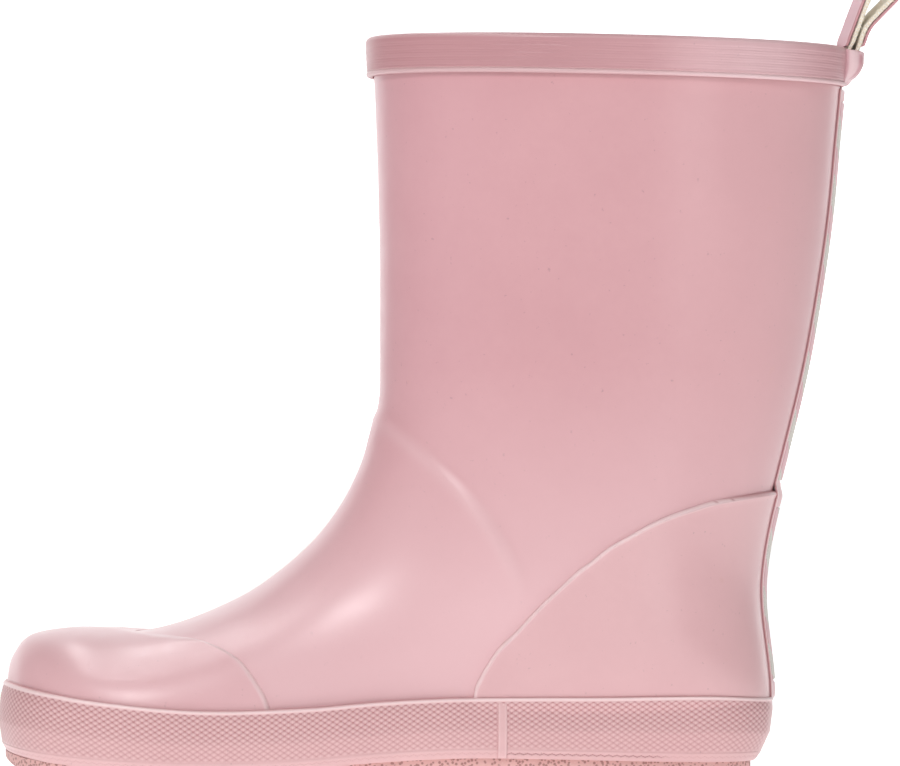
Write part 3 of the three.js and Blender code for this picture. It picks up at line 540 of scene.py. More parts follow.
def rubber(name, light, dark, rough=0.42, grain=0.25, mottle=0.5, specks=0.4, coat=0.3, streak=False, extra=None):
    """Satin rubber: cloudy colour, small pits and specks, fine skin."""
    n = Nodes(name)
    cloud = n.ramp(n.noise(28, 4, 0.6), 0.3, 0.7)
    fine = n.ramp(n.noise(420, 3, 0.6), 0.3, 0.7)
    colour = n.mix(n.math("MULTIPLY", cloud, mottle), light, dark)
    colour = n.mix(n.math("MULTIPLY", fine, 0.16), colour, dark)
    pits = n.ramp(n.noise(900, 2, 0.5), 0.70, 0.78)
    colour = n.mix(n.math("MULTIPLY", pits, specks), colour, tuple(v * 0.55 for v in dark))
    stain = n.ramp(n.noise(150, 2, 0.5), 0.735, 0.78)
    colour = n.mix(n.math("MULTIPLY", stain, 0.12), colour, srgb(206, 150, 118))
    if extra:
        colour = extra(n, colour)
    n.bump(n.noise(1700, 3, 0.6), grain, 0.00006)
    n.bump(n.noise(70, 3, 0.5), 0.35, 0.0004)
    if streak:
        n.bump(n.noise(60, 3, 0.6, stretch=(1, 1, 60)), 0.2, 0.0001)
    roughness = n.ramp(n.noise(180, 3, 0.6), 0.3, 0.7, rough - 0.05, rough + 0.07)
    return n.done(colour, roughness, coat, 0.3)


PINK_L, PINK_D = srgb(213, 160, 165), srgb(202, 147, 153)


def leg_painted_light(n, colour):
    """Mauve painted shade at the shaft's front and top, paler towards the foot and at the back as painted light, with a
    painted highlight and painted shade from the mesh.
    """
    x, y, z = n.xyz()
    # Painted light: the foot is made paler, as light from above falls on it.
    low = n.ramp(z, 0.105, 0.045)
    colour = n.mix(n.math("MULTIPLY", low, 0.66), colour, srgb(242, 201, 205))
    # Painted shade: mauve darkening on the shaft's front and top.
    front = n.math("MULTIPLY", n.ramp(x, 0.015, -0.022), n.ramp(z, 0.07, 0.11))
    colour = n.mix(n.math("MULTIPLY", front, 0.25), colour, srgb(207, 156, 168))
    # Painted light: the back of the shaft is made paler.
    back = n.ramp(x, 0.045, 0.085)
    colour = n.mix(n.math("MULTIPLY", back, 0.4), colour, srgb(236, 190, 193))
    # Painted highlight from the light attribute, beside the instep ridge.
    painted_highlight = n.attr("light")
    colour = n.mix(n.math("MULTIPLY", painted_highlight, 0.5, clamp=True), colour, srgb(250, 226, 226))
    # Painted shade from the shade attribute.
    shade = n.attr("shade")
    return n.mix(n.math("MULTIPLY", shade, 0.75, clamp=True), colour, srgb(190, 126, 130))


def edge_painted_highlight_and_shade(n, colour):
    # Painted highlight from the light attribute and painted shade from the shade attribute, along edges and in creases.
    colour = n.mix(n.math("MULTIPLY", n.attr("light"), 0.7, clamp=True), colour, srgb(255, 236, 236))
    return n.mix(n.math("MULTIPLY", n.attr("shade"), 0.85, clamp=True), colour, srgb(184, 116, 120))


def layer_painted_light(n, colour):
    """Painted light: the toe cap and the back of the heel counter are made paler, then the edges get their painted
    highlight and shade.
    """
    x, y, z = n.xyz()
    # Painted light on the toe cap, then on the back of the heel counter.
    colour = n.mix(n.math("MULTIPLY", n.ramp(x, -0.02, -0.06), 0.2), colour, srgb(240, 194, 202))
    colour = n.mix(n.math("MULTIPLY", n.ramp(x, 0.055, 0.075), 0.4), colour, srgb(240, 196, 198))
    return edge_painted_highlight_and_shade(n, colour)


M_LEG = rubber("upper_rubber", PINK_L, PINK_D, 0.4, extra=leg_painted_light, mottle=0.5, coat=0.6)
M_LAYER = rubber("overlay_rubber", srgb(227, 181, 184), srgb(218, 170, 174), 0.36, extra=layer_painted_light, mottle=0.45, coat=0.5)
M_STRIP = rubber("strip_rubber", srgb(231, 184, 188), srgb(218, 168, 173), 0.4, extra=edge_painted_highlight_and_shade)
def band_painted_light(n, colour):
    x, y, z = n.xyz()
    # Painted shade darkens the band's front.
    colour = n.mix(n.math("MULTIPLY", n.ramp(x, 0.06, 0.02), 0.95), colour, srgb(186, 134, 139))
    # Painted highlight across the band towards its back.
    painted_band_highlight = n.math("MULTIPLY", n.ramp(x, 0.045, 0.07), n.ramp(x, 0.092, 0.078))
    colour = n.mix(n.math("MULTIPLY", painted_band_highlight, 0.35), colour, srgb(240, 212, 216))
    return edge_painted_highlight_and_shade(n, colour)


M_BAND = rubber("band_rubber", srgb(211, 162, 167), srgb(198, 147, 153), 0.42, extra=band_painted_light, streak=True)
M_PATCH = rubber("patch_rubber", srgb(214, 160, 168), srgb(200, 146, 155), 0.42, extra=edge_painted_highlight_and_shade)
M_FOX = rubber("foxing_rubber", srgb(229, 187, 188), srgb(218, 173, 175), 0.42, extra=edge_painted_highlight_and_shade, mottle=0.4)


def sole_tint(n, colour):
    dots = n.ramp(n.voronoi(1150), 0.5, 0.3)
    colour = n.mix(n.math("MULTIPLY", dots, 0.7), colour, srgb(142, 88, 84))
    pale = n.ramp(n.noise(1500, 2, 0.5), 0.66, 0.74)
    return n.mix(n.math("MULTIPLY", pale, 0.5), colour, srgb(240, 212, 204))


M_SOLE = rubber("outsole_rubber", srgb(230, 184, 180), srgb(212, 166, 161), 0.6, grain=0.8, specks=0.5, coat=0.0, extra=sole_tint)


def tape_material():
    n = Nodes("reflective_tape")
    s = n.attr("bar")
    f = n.math("FRACT", n.math("ADD", n.math("DIVIDE", s, 14.8), n.math("MULTIPLY", n.noise(260, 2), 0.03)))
    white = n.math("MULTIPLY", n.ramp(f, 0.0, 0.02), n.ramp(f, 0.55, 0.53))
    beads = n.voronoi(3200)
    body = n.mix(n.ramp(n.noise(40, 3), 0.3, 0.7), srgb(226, 178, 184), srgb(214, 164, 171))
    silver = n.mix(n.ramp(beads, 0.0, 0.6), srgb(238, 234, 226), srgb(206, 199, 190))
    colour = n.mix(white, body, silver)
    n.bump(beads, 0.35, 0.00005)
    n.bump(white, 0.6, 0.00008)
    return n.done(colour, n.ramp(white, 0, 1, 0.42, 0.5), 0.1)


def knit_material(name, a, b, pitch=900.0, strength=0.9):
    """Jersey: rows of small loops with fuzz, darker in the loops' hollows as painted shade."""
    n = Nodes(name)
    x, y, z = n.xyz()
    t = n.math("ADD", n.math("ADD", x, y), 0)
    row = n.math("SINE", n.math("MULTIPLY", z, pitch * 4.2))
    col = n.math("SINE", n.math("ADD", n.math("MULTIPLY", t, pitch * 3.1), n.math("MULTIPLY", row, 1.1)))
    h = n.math("ADD", n.math("MULTIPLY", row, 0.5), n.math("MULTIPLY", col, 0.5))
    n.bump(h, strength, 0.00022)
    n.bump(n.noise(2600, 3, 0.7), 0.5, 0.0002)
    # Painted shade: darker colour where the knit's relief is low.
    colour = n.mix(n.ramp(h, -0.8, 0.8), b, a)
    colour = n.mix(n.math("MULTIPLY", n.noise(60, 3), 0.4), colour, b)
    return n.done(colour, 0.92, sheen=0.3)


def web_material(name, a, b):
    n = Nodes(name)
    along, side = n.attr("along"), n.attr("side")
    rib = n.math("SINE", n.math("MULTIPLY", along, 6.2832 / 0.85))
    warp = n.math("SINE", n.math("MULTIPLY", side, 6.2832 / 0.7))
    h = n.math("MULTIPLY", rib, warp)
    n.bump(h, 0.5, 0.00015)
    n.bump(n.noise(2400, 4, 0.7), 0.5, 0.00015)
    # Painted shade: darker colour in the weave's hollows.
    colour = n.mix(n.ramp(h, -0.7, 0.7), b, a)
    colour = n.mix(n.ramp(n.noise(700, 3), 0.35, 0.7, 0, 0.6), colour, b)
    return n.done(colour, 0.95, sheen=0.6)


def plain_fibre(name, a, b, rough=0.9, scale=600):
    n = Nodes(name)
    colour = n.mix(n.ramp(n.noise(scale, 4, 0.65), 0.3, 0.7), a, b)
    colour = n.mix(n.math("MULTIPLY", n.ramp(n.noise(scale * 3, 2), 0.6, 0.7), 0.5), colour, tuple(v * 0.6 for v in b))
    n.bump(n.noise(scale * 2.5, 4, 0.7), 0.8, 0.0002)
    return n.done(colour, rough)


M_TAPE = tape_material()
M_LINING = knit_material("lining_knit", srgb(236, 229, 216), srgb(196, 186, 170))
M_COVER = knit_material("insole_knit", srgb(232, 222, 206), srgb(190, 178, 160), 1100)
M_WEB = web_material("loop_webbing_weave", srgb(255, 252, 244), srgb(247, 234, 210))
M_FACING = rubber("loop_facing_rubber", srgb(243, 202, 210), srgb(231, 185, 195), 0.6, coat=0.05, extra=edge_painted_highlight_and_shade)
M_FOAM = plain_fibre("insole_foam", srgb(228, 216, 190), srgb(206, 192, 164), 0.95, 1400)
M_BOARD = plain_fibre("fibre_board", srgb(190, 160, 124), srgb(160, 130, 98))
M_STIFF = plain_fibre("stiffener", srgb(206, 190, 168), srgb(180, 162, 138))
M_SPONGE = plain_fibre("sponge_filler", srgb(196, 186, 174), srgb(166, 156, 144), 0.95, 1000)

# ---------------------------------------------------------------- the sole's plan
def outline(curve, lift, off=0.0, count=120):
    """The last's plan outline where its face meets a side-view curve: rows of (x, half, centre), then both sides."""
    us = np.arange(0.5, 24.001, 0.05)
    lo, hi = np.zeros(len(us)), np.full(len(us), 180.0)

    def z(deg):
        p = surf(us, deg, off)
        return p[:, 2] - along(curve, p[:, 0]) - lift

    ok = (z(lo) <= 0) & (z(hi) >= 0)
    for _ in range(40):
        m = (lo + hi) / 2
        over = z(m) > 0
        hi, lo = np.where(over, m, hi), np.where(over, lo, m)
    p = surf(us, lo, off)
    yc = surf(us, 0.0, off)[:, 1]
    hits = np.stack([p[:, 0], yc - p[:, 1], yc], 1)[ok]
    hits[0, 1] = hits[-1, 1] = 0
    run = np.concatenate([[0], np.cumsum(np.hypot(np.diff(hits[:, 0]), np.diff(hits[:, 1])))])
    s = np.linspace(0, run[-1], count + 1)
    side = np.stack([np.interp(s, run, hits[:, k]) for k in range(3)], 1)
    a = np.stack([side[:, 0], side[:, 2] - side[:, 1]], 1)
    b = np.stack([side[1:-1, 0], side[1:-1, 2] + side[1:-1, 1]], 1)[::-1]
    return np.vstack([a, b])


def resample(points, step):
    """A closed line evenly sampled and a little smoothed."""
    p = np.vstack([points, points[:1]])
    run = np.concatenate([[0], np.cumsum(np.linalg.norm(np.diff(p, axis=0), axis=1))])
    n = int(round(run[-1] / step))
    s = np.arange(n) * run[-1] / n
    q = np.stack([np.interp(s, run, p[:, k]) for k in range(2)], 1)
    m = max(1, int(round(2.0 / step)))
    kernel = np.hanning(2 * m + 3)[1:-1]
    kernel /= kernel.sum()
    pad = np.vstack([q[-m:], q, q[:m]])
    return np.stack([np.convolve(pad[:, k], kernel, "valid") for k in range(2)], 1), run[-1]


def normals(q):
    """Outward normals of a closed plan line, and its tangents."""
    t = np.roll(q, -1, 0) - np.roll(q, 1, 0)
    t /= np.linalg.norm(t, axis=1)[:, None]
    n = np.stack([t[:, 1], -t[:, 0]], 1)
    c = q.mean(0)
    if ((q - c) * n).sum() < 0:
        n = -n
    return n, t


PLAN, PLAN_LENGTH = resample(outline(FOX_TOP, -4), 2.03 / 4)
PLAN_N, _ = normals(PLAN)
PLAN_COARSE = PLAN[::4]


def inside_plan(q, d=0.0):
    """How far plan points lie inside the outline moved outwards by d."""
    return polyline(PLAN_COARSE, q, closed=True) + d


def tuck(x):
    return np.clip((x - 20) / 50, 0, 1)


def bulge(x):
    return np.clip((-85 - x) / 25, 0, 1)


# ---------------------------------------------------------------- leg and lining
def wrapped(P, T):
    """Joins the seam, once the cuts that need whole cells are done."""
    P = P.copy()
    P[P[:, 0] < 1e-6, 1] = 0
    return weld(P, T, wrap=(1, 360.0))


def upper_params(nu, nd):
    us = np.concatenate([np.linspace(0, 3, 16)[:-1], np.linspace(3, 20, int(nu * 0.45))[:-1], np.linspace(20, 39, int(nu * 0.55))])
    return grid(us, np.linspace(0, 360, nd + 1))


def trimmed_upper(nu, nd, off, top_drop):
    P, T = upper_params(nu, nd)

    def top(P):
        s = surf(P[:, 0], P[:, 1], off)
        return rim(s[:, 0], top_drop) - s[:, 2]

    def margin(P):
        s = surf(P[:, 0], P[:, 1], off)
        d = -inside_plan(s[:, :2], -MARGIN)
        return np.where(s[:, 2] > 30, 5.0, d)

    P, T = trim(P, T, top)
    P, T = trim(P, T, margin)
    return wrapped(P, T)


def ridge_shape(x, z):
    """Signed side-view distance from the soft ridge over the instep, from which its lift, painted highlight and painted
    shade are made.
    """
    d = polyline(RIDGE_R, np.stack([x, z], 1))
    d = np.where(x < -60, 20, d)
    return d


P, T = trimmed_upper(200, 196, 0.0, 1.6)
base = surf(P[:, 0], P[:, 1], 0.0)
d = ridge_shape(base[:, 0], base[:, 2])
d = -d  # positive on the foot's side
fade = smooth((base[:, 2] - 44) / 18) * smooth((99 - base[:, 2]) / 3)
lift = fade * (0.42 * smooth((d + 1.4) / 3.2) * smooth((14 - d) / 11) + 0.12 * np.exp(-(((d - 1.8) / 1.5) ** 2)))
# Painted highlight on the foot's side of the ridge, and a faint painted shade on its other side.
light = fade * np.exp(-(((d - 1.6) / 1.7) ** 2)) * 0.26
shade = fade * np.exp(-(((d + 1.2) / 0.9) ** 2)) * 0.05
V, F = shell(T, surf(P[:, 0], P[:, 1], lift), surf(P[:, 0], P[:, 1], -1.4))
two = lambda a: np.concatenate([a, a * 0])
make("leg", V, F, M_LEG, replaces=("leg_upper",), attributes={"light": two(light), "shade": two(shade)})

P, T = trimmed_upper(150, 160, -1.7, 1.6)
V, F = shell(T, surf(P[:, 0], P[:, 1], -1.7), surf(P[:, 0], P[:, 1], -3.5))
make("lining", V, F, M_LINING, replaces=("leg_lining",))


# ---------------------------------------------------------------- toe cap and heel counter
def outer_layer(name, side, us, degs, node, material, low, rim_bead, edge_light):
    """A layer of rubber over the leg with a rolled edge; side(x, z) is positive inside it."""
    P, T = grid(us, degs)

    def base_z(P):
        s = surf(P[:, 0], P[:, 1], 1.3)
        return s[:, 2] - along(FOX_TOP, s[:, 0]) + low

    def region(P):
        s = surf(P[:, 0], P[:, 1], 1.3)
        return side(s)

    P, T = trim(P, T, base_z)
    P, T = trim(P, T, region, refine=3)
    E = boundary(weld(P, T, wrap=(1, 360.0))[1])
    Pw = weld(P, T, wrap=(1, 360.0))[0]
    edge = surf(Pw[:, 0], Pw[:, 1], 1.3)
    on_line = np.abs(region(Pw)) < 0.05
    E = E[on_line[E[:, 0]] & on_line[E[:, 1]]]
    C = (edge[E[:, 0]], edge[E[:, 1]])

    def dist(P):
        s = surf(P[:, 0], P[:, 1], 1.3)
        rough = side(s)
        out = np.full(len(P), 9.0)
        near = rough < 6.0
        out[near] = curve_distance(s[near], C)
        return np.minimum(out, 9.0)

    for level in (0.12, 0.35, 0.7, 1.1, 2.2):
        P, T = cut(P, T, dist, level, refine=1)
    P, T = weld(P, T, wrap=(1, 360.0))
    d = dist(P)
    r = 0.75
    t = np.clip(d / r, 0, 1)
    roll = np.sqrt(np.maximum(0, 1 - (1 - t) ** 2))
    bead = rim_bead * np.exp(-(((d - 0.75) / 0.45) ** 2))
    here = surf(P[:, 0], P[:, 1], 1.3)
    # Over the toes the edge is skived to nearly nothing.
    thin = 1 - 0.8 * smooth((here[:, 2] - 36.6) / 2.2) * (here[:, 0] < -60) * (1 - smooth(d / 4.6))
    off = 0.12 + (1.18 * roll + bead) * thin
    light = edge_light * np.exp(-(((d - 0.3) / 0.45) ** 2)) * thin
    shade = np.exp(-((d / 0.14) ** 2)) * (0.75 * smooth((here[:, 2] - 71.6) / 1.2) * (here[:, 0] > 60)) * smooth(thin * 2 - 1)
    light = light * smooth((thin - 0.35) / 0.6)
    light = light * (1 - 0.8 * smooth((here[:, 2] - 71.6) / 1.2) * (here[:, 0] > 60))
    pits = np.maximum(np.exp(-(((here[:, 0] - 62.9) / 0.35) ** 2)), np.exp(-(((here[:, 0] - 67.0) / 0.3) ** 2))) * np.exp(-(((d - 0.25) / 0.25) ** 2)) * (here[:, 0] > 60)
    shade = np.maximum(shade, pits)
    V, F = shell(T, surf(P[:, 0], P[:, 1], off), surf(P[:, 0], P[:, 1], 0.03))
    make(name, V, F, material, replaces=(node,), attributes={"light": two(light), "shade": two(shade)})


TOE_TOP = [[-4, -82.6], [0, -83.1], [4, -82.6], [8, -81.2], [13.2, -77.8], [20, -72.0], [24.2, -67.6], [27.6, -64.0], [29.6, -61.6], [32, -58.0], [36, -53.0]]


def toe_side(s):
    """Inside the toe cap: by its side-view line low down, by its plan line over the toes."""
    d = -polyline(TOE_R, s[:, [0, 2]])
    half = np.abs(s[:, 1] - np.interp(s[:, 0], ROWS[:, 0], ROWS[:, 8]))
    plan = (along(TOE_TOP, half) - s[:, 0]) * 0.8
    w = smooth((s[:, 2] - 35.8) / 1.6)
    return np.where(s[:, 2] > 46, -5.0, w * plan + (1 - w) * d)


def counter_side(s):
    return -polyline(COUNTER_R, s[:, [0, 2]])


outer_layer("toe_cap_layer", toe_side, np.concatenate([np.linspace(0.5, 3, 14)[:-1], np.linspace(3, 15.5, 84)]), np.linspace(20, 340, 190), "toe_cap", M_LAYER, 7.0, 0.05, 0.8)
outer_layer("heel_counter_layer", counter_side, np.linspace(13.5, 30.5, 130), np.concatenate([np.linspace(-165, 165, 200)]), "heel_counter", M_LAYER, 7.0, 0.14, 1.0)


# ---------------------------------------------------------------- back strip and its tapes
def back_deg(u, y, off):
    """The angle at which the last's face, moved out by off, passes side position y near the back."""
    lo, hi = np.full(np.shape(u), -75.0), np.full(np.shape(u), 75.0)
    for _ in range(24):
        m = (lo + hi) / 2
        over = surf(u, m, off)[..., 1] > y
        lo, hi = np.where(over, m, lo), np.where(over, hi, m)
    return (lo + hi) / 2


def back_point(y, z, off):
    """The back's point at side position y and height z."""
    y, z, off = np.broadcast_arrays(np.asarray(y, float), np.asarray(z, float), np.asarray(off, float))
    u = np.interp(z, ROWS[20:, 3], np.arange(20, 40))
    for _ in range(6):
        p = surf(u, back_deg(u, y, off), off)
        q = surf(u + 0.02, back_deg(u + 0.02, y, off), off)
        u = np.clip(u + np.clip((z - p[..., 2]) * 0.02 / np.maximum(0.02, q[..., 2] - p[..., 2]), -0.6, 0.6), 19.5, 39)
    return surf(u, back_deg(u, y, off), off)


def back_table(off):
    """A dense table of the back face, to read quickly."""
    ys, zs = np.linspace(-12, 12, 49), np.linspace(16, 188, 345)
    Y, Z = np.meshgrid(ys, zs, indexing="ij")
    return ys, zs, back_point(Y, Z, off)


BACK0 = back_table(0.0)


def read(table, y, z):
    ys, zs, G = table
    fy, fz = (y - ys[0]) / (ys[1] - ys[0]), (z - zs[0]) / (zs[1] - zs[0])
    i, j = np.clip(fy.astype(int), 0, len(ys) - 2), np.clip(fz.astype(int), 0, len(zs) - 2)
    a, b = (fy - i)[..., None], (fz - j)[..., None]
    return G[i, j] * (1 - a) * (1 - b) + G[i + 1, j] * a * (1 - b) + G[i, j + 1] * (1 - a) * b + G[i + 1, j + 1] * a * b


def back(y, z, off):
    """The back face moved out along its own normal."""
    y, z = np.broadcast_arrays(np.asarray(y, float), np.asarray(z, float))
    p = read(BACK0, y, z)
    e = 0.6
    ty, tz = read(BACK0, y + e, z) - read(BACK0, y - e, z), read(BACK0, y, z + e) - read(BACK0, y, z - e)
    n = np.cross(ty, tz)
    n /= np.linalg.norm(n, axis=-1)[..., None] + 1e-12
    n = np.where(n[..., :1] < 0, -n, n)
    return p + n * np.asarray(off, float)[..., None]


def over_counter(z):
    """How far the strip is lifted by the counter under it."""
    return 1.3 * smooth((76.2 - z) / 3.4)


def strip_end(y):
    p = back(y, np.full(np.shape(y), 175.0), np.zeros(np.shape(y)))
    return rim(p[..., 0], BAND_H + 0.3)


def strip_body(name, half, z0, z1, t_out, t_in, material, node, groove=None, roll=0.55, steps=0.5, attributes=None):
    n = int((z1 - z0) / steps)
    zs = np.unique(np.concatenate([[z0, z0 + 0.15, z0 + 0.4], np.linspace(z0 + 0.8, z1 - 0.8, n), [z1 - 0.4, z1 - 0.15, z1]]))
    inner = [groove - 0.25, groove - 0.001, groove + 0.001] if groove else []
    half_ys = np.array(sorted({0.0, 1.1, 2.2, 3.3, 4.4, 5.2, half - 0.9, half - roll, half - 0.3, half - 0.12, half - 0.03, half} | set(inner)))
    half_ys = half_ys[half_ys <= half + 1e-9]
    ys = np.concatenate([-half_ys[::-1], half_ys[1:]])
    P, T = grid(ys, zs)
    y, z = P[:, 0], P[:, 1]
    e = np.minimum(np.minimum(half - np.abs(y), z - z0), z1 - z)
    t = np.clip(e / roll, 0, 1)
    rise = np.sqrt(np.maximum(0, 1 - (1 - t) ** 2))
    crown = t_out - 0.72 * smooth((np.abs(y) - 0.8) / 6.0)
    off = t_in + (crown - t_in) * (0.3 + 0.7 * rise)
    if groove:
        for a, b in TAPE_SPANS:
            inside = (np.abs(y) < groove) & (z > a - 0.3) & (z < b + 0.3)
            off = np.where(inside, np.minimum(off, crown - 0.35), off)
    lift = over_counter(z)
    low = t_in + lift
    V, F = shell(T, back(y, z, off + lift), back(y, z, low))
    at = attributes(y, z, e) if attributes else {}
    return make(name, V, F, material, replaces=node, attributes={k: np.concatenate([v, v]) for k, v in at.items()}, sharp=50)


TAPE_SPANS = [(76.6, 172.0), (26.0, 70.2)]
strip_top = float(strip_end(np.array([0.0]))[0]) - 0.1
strip_body(
    "back_strip_layer", STRIP_HALF, 21.5, strip_top, 1.3, 0.06, M_STRIP, ("back_strip",), groove=5.7,
    attributes=lambda y, z, e: {"light": np.exp(-(((e - 0.45) / 0.35) ** 2)) * 0.8, "shade": np.exp(-((e / 0.13) ** 2)) * 0.95},
)
for name, (a, b) in zip(("reflective_tape_upper", "reflective_tape_lower"), TAPE_SPANS):
    strip_body(
        name + "_look", 5.62, a, b, 1.42, 0.3, M_TAPE, (name,), roll=0.3,
        attributes=lambda y, z, e: {"bar": z - 33.0 + 4.4 + 1.1 * (y + 6.5) + 148.0},
    )


# ---------------------------------------------------------------- top band
def ring_points(deg, off, drop):
    """Points of the last's face, moved out by off, that lie drop under the rim."""
    deg, off, drop = np.broadcast_arrays(np.asarray(deg, float), np.asarray(off, float), np.asarray(drop, float))
    lo, hi = np.full(deg.shape, 34.0), np.full(deg.shape, 39.0)
    for _ in range(34):
        m = (lo + hi) / 2
        p = surf(m, deg, off)
        deep = rim(p[..., 0], 0) - p[..., 2] > drop
        lo, hi = np.where(deep, m, lo), np.where(deep, hi, m)
    return surf((lo + hi) / 2, deg, off)


def arc(cx, cy, r, a0, a1, n):
    t = np.radians(np.linspace(a0, a1, n))
    return [[cx + r * math.cos(v), cy - r * math.sin(v)] for v in t]


# The band's section as (off, drop), from its lower outer edge up over the rim and down inside.
profile = [[0.35, 9.9], [1.0, 9.95]]
profile += arc(1.32, 9.3, 0.6, -75, 75, 8)
ribs = np.arange(8.3, 1.75, -0.14)
for k, v in enumerate(ribs):
    profile.append([1.7 + 0.018 * math.sin(v * 2 * math.pi / 0.62) + 0.02 * math.sin(v * 2 * math.pi / 1.7 + 1), v])
profile += arc(0.35, 1.35, 1.35, 5, 90, 9)
profile += [[-0.6, -0.03], [-1.6, -0.04], [-2.6, -0.03]]
profile += arc(-3.65, 1.25, 1.25, 90, 178, 9)
profile += [[-4.95, 2.5], [-5.0, 4.0], [-4.98, 5.5], [-4.95, 7.0]]
profile += arc(-4.45, 7.5, 0.5, 180, 260, 4)
profile += [[-3.9, 7.95], [-3.85, 5.0], [-3.85, 1.55], [-1.8, 1.45], [0.3, 1.5], [0.32, 5.0]]
profile = np.array(profile)
degs = np.unique(np.concatenate([np.linspace(0, 360, 301)[:-1], [8.0, 352.0]]))
y_back = ring_points(degs, np.full(len(degs), 0.3), np.full(len(degs), 4.0))[:, 1]
D, K = np.meshgrid(degs, np.arange(len(profile)), indexing="ij")
off, drop = profile[K, 0], profile[K, 1]
wob = 1 + 0.25 * np.sin(np.radians(D * 7)) * np.sin(np.radians(D * 3 + 40))
off = off + np.where((drop > 1.8) & (drop < 8.5) & (off > 1), 0.006 * np.sin(np.radians(D * 23) + drop * 9), 0) * wob
recess = (np.abs(y_back)[:, None] < 6.9) & ((D < 40) | (D > 320))
off = np.where(recess & (off > 0.3), 0.3 + (off - 0.3) * 0.02, off)
pts = ring_points(D, off, np.maximum(drop, 0.0))
pts[..., 2] += np.maximum(0, -drop)
n, m = pts.shape[:2]
i, j = np.meshgrid(np.arange(n), np.arange(m), indexing="ij")
a, b, c, d_ = i * m + j, (i + 1) % n * m + j, (i + 1) % n * m + (j + 1) % m, i * m + (j + 1) % m
F = np.concatenate([np.stack([a, b, c], -1).reshape(-1, 3), np.stack([a, c, d_], -1).reshape(-1, 3)])
# Painted highlights on the lower lip and the rim's top; painted shade under the lip, along the line between lip and
# ribs, and inside the rim.
light = np.where((off > 0.9) & (drop > 8.6), 0.4, 0) + np.where((off > 0.6) & (drop < 1.2), 0.15, 0)
shade = np.where((off > 0.3) & (off < 1.2) & (drop > 9.7), 1.0, 0) + np.where(np.abs(drop - 8.3) < 0.12, 0.35 * (off > 1), 0) + np.where((off < -2.2) & (drop < 4), 0.7, 0)
make("top_band_layer", pts.reshape(-1, 3), F, M_BAND, replaces=("top_band",), attributes={"light": light.ravel(), "shade": shade.ravel()}, sharp=45)

# ---------------------------------------------------------------- loop patch
patch_plan = np.array([[-10.4, 90], [-9.9, 96.7], [-9.2, 98.7], [-8.0, 100.2], [-6.2, 100.9], [0, 101.1], [6.2, 100.9], [8.0, 100.2], [9.2, 98.7], [9.9, 96.7], [10.4, 90]])
patch_side = np.array([[176.3, 97.3], [177.0, 97.6], [177.6, 98.0], [178.2, 98.9], [179.2, 99.8], [180.2, 100.4], [181.4, 100.8], [184.1, 100.9], [184.6, 100.6], [185.0, 99.9]])
ys = np.unique(np.concatenate([np.linspace(-9.75, 9.75, 60), [-9.7, 9.7, -9.6, 9.6]]))
zs = np.concatenate([[176.35, 176.45], np.linspace(176.6, 184.7, 40), [184.85, 184.95]])
P, T = grid(ys, zs)
y, z = P[:, 0], P[:, 1]
inner = back(y, z, np.full(len(y), 1.74))[:, 0]
plan_x = np.interp(y, patch_plan[:, 0], patch_plan[:, 1])
side_x = np.interp(z, patch_side[:, 0], patch_side[:, 1])
room = np.maximum(0.02, side_x - 96.9) / 4.1
x = inner + np.maximum(0.25, (plan_x - inner) * np.minimum(1.0, room))
e = np.minimum(np.minimum(9.75 - np.abs(y), z - 176.35), 184.95 - z)
x = inner + (x - inner) * (0.25 + 0.75 * np.sqrt(np.maximum(0, 1 - (1 - np.clip(e / 0.7, 0, 1)) ** 2)))
bead = np.exp(-(((e - 0.8) / 0.4) ** 2))
x = x + 0.12 * bead
inner_x = np.where((np.abs(y) < 7.0), np.maximum(inner, np.minimum(99.75, x - 0.25)), inner)
light = np.maximum(bead * 0.6, 0.75 * smooth((1.6 - (y + 9.75)) / 1.2) * (y < 0) * smooth(e / 0.2))
shade = 0.46 * smooth((e - 1.3) / 0.8)
V, F = shell(T, np.stack([x, y, z], 1), np.stack([inner_x, y, z], 1))
make("loop_patch_layer", V, F, M_PATCH, replaces=("loop_patch",), attributes={"light": two(light), "shade": two(shade)}, sharp=50)

# ---------------------------------------------------------------- pull loop
loop_pts = np.array([[96.4, 184.5], [96.7, 187.5], [97.7, 190.2], [99.2, 194.2], [100.8, 198.2], [102.4, 202.3], [104.2, 206.6], [106.0, 210.6], [109.0, 214.4], [112.7, 215.4], [115.6, 213.2], [116.4, 210.0], [115.5, 206.9], [113.7, 204.2], [111.8, 202.0], [109.9, 200.0], [107.3, 197.3], [104.0, 194.0], [101.2, 190.9], [99.7, 187.5], [99.6, 184.5]])


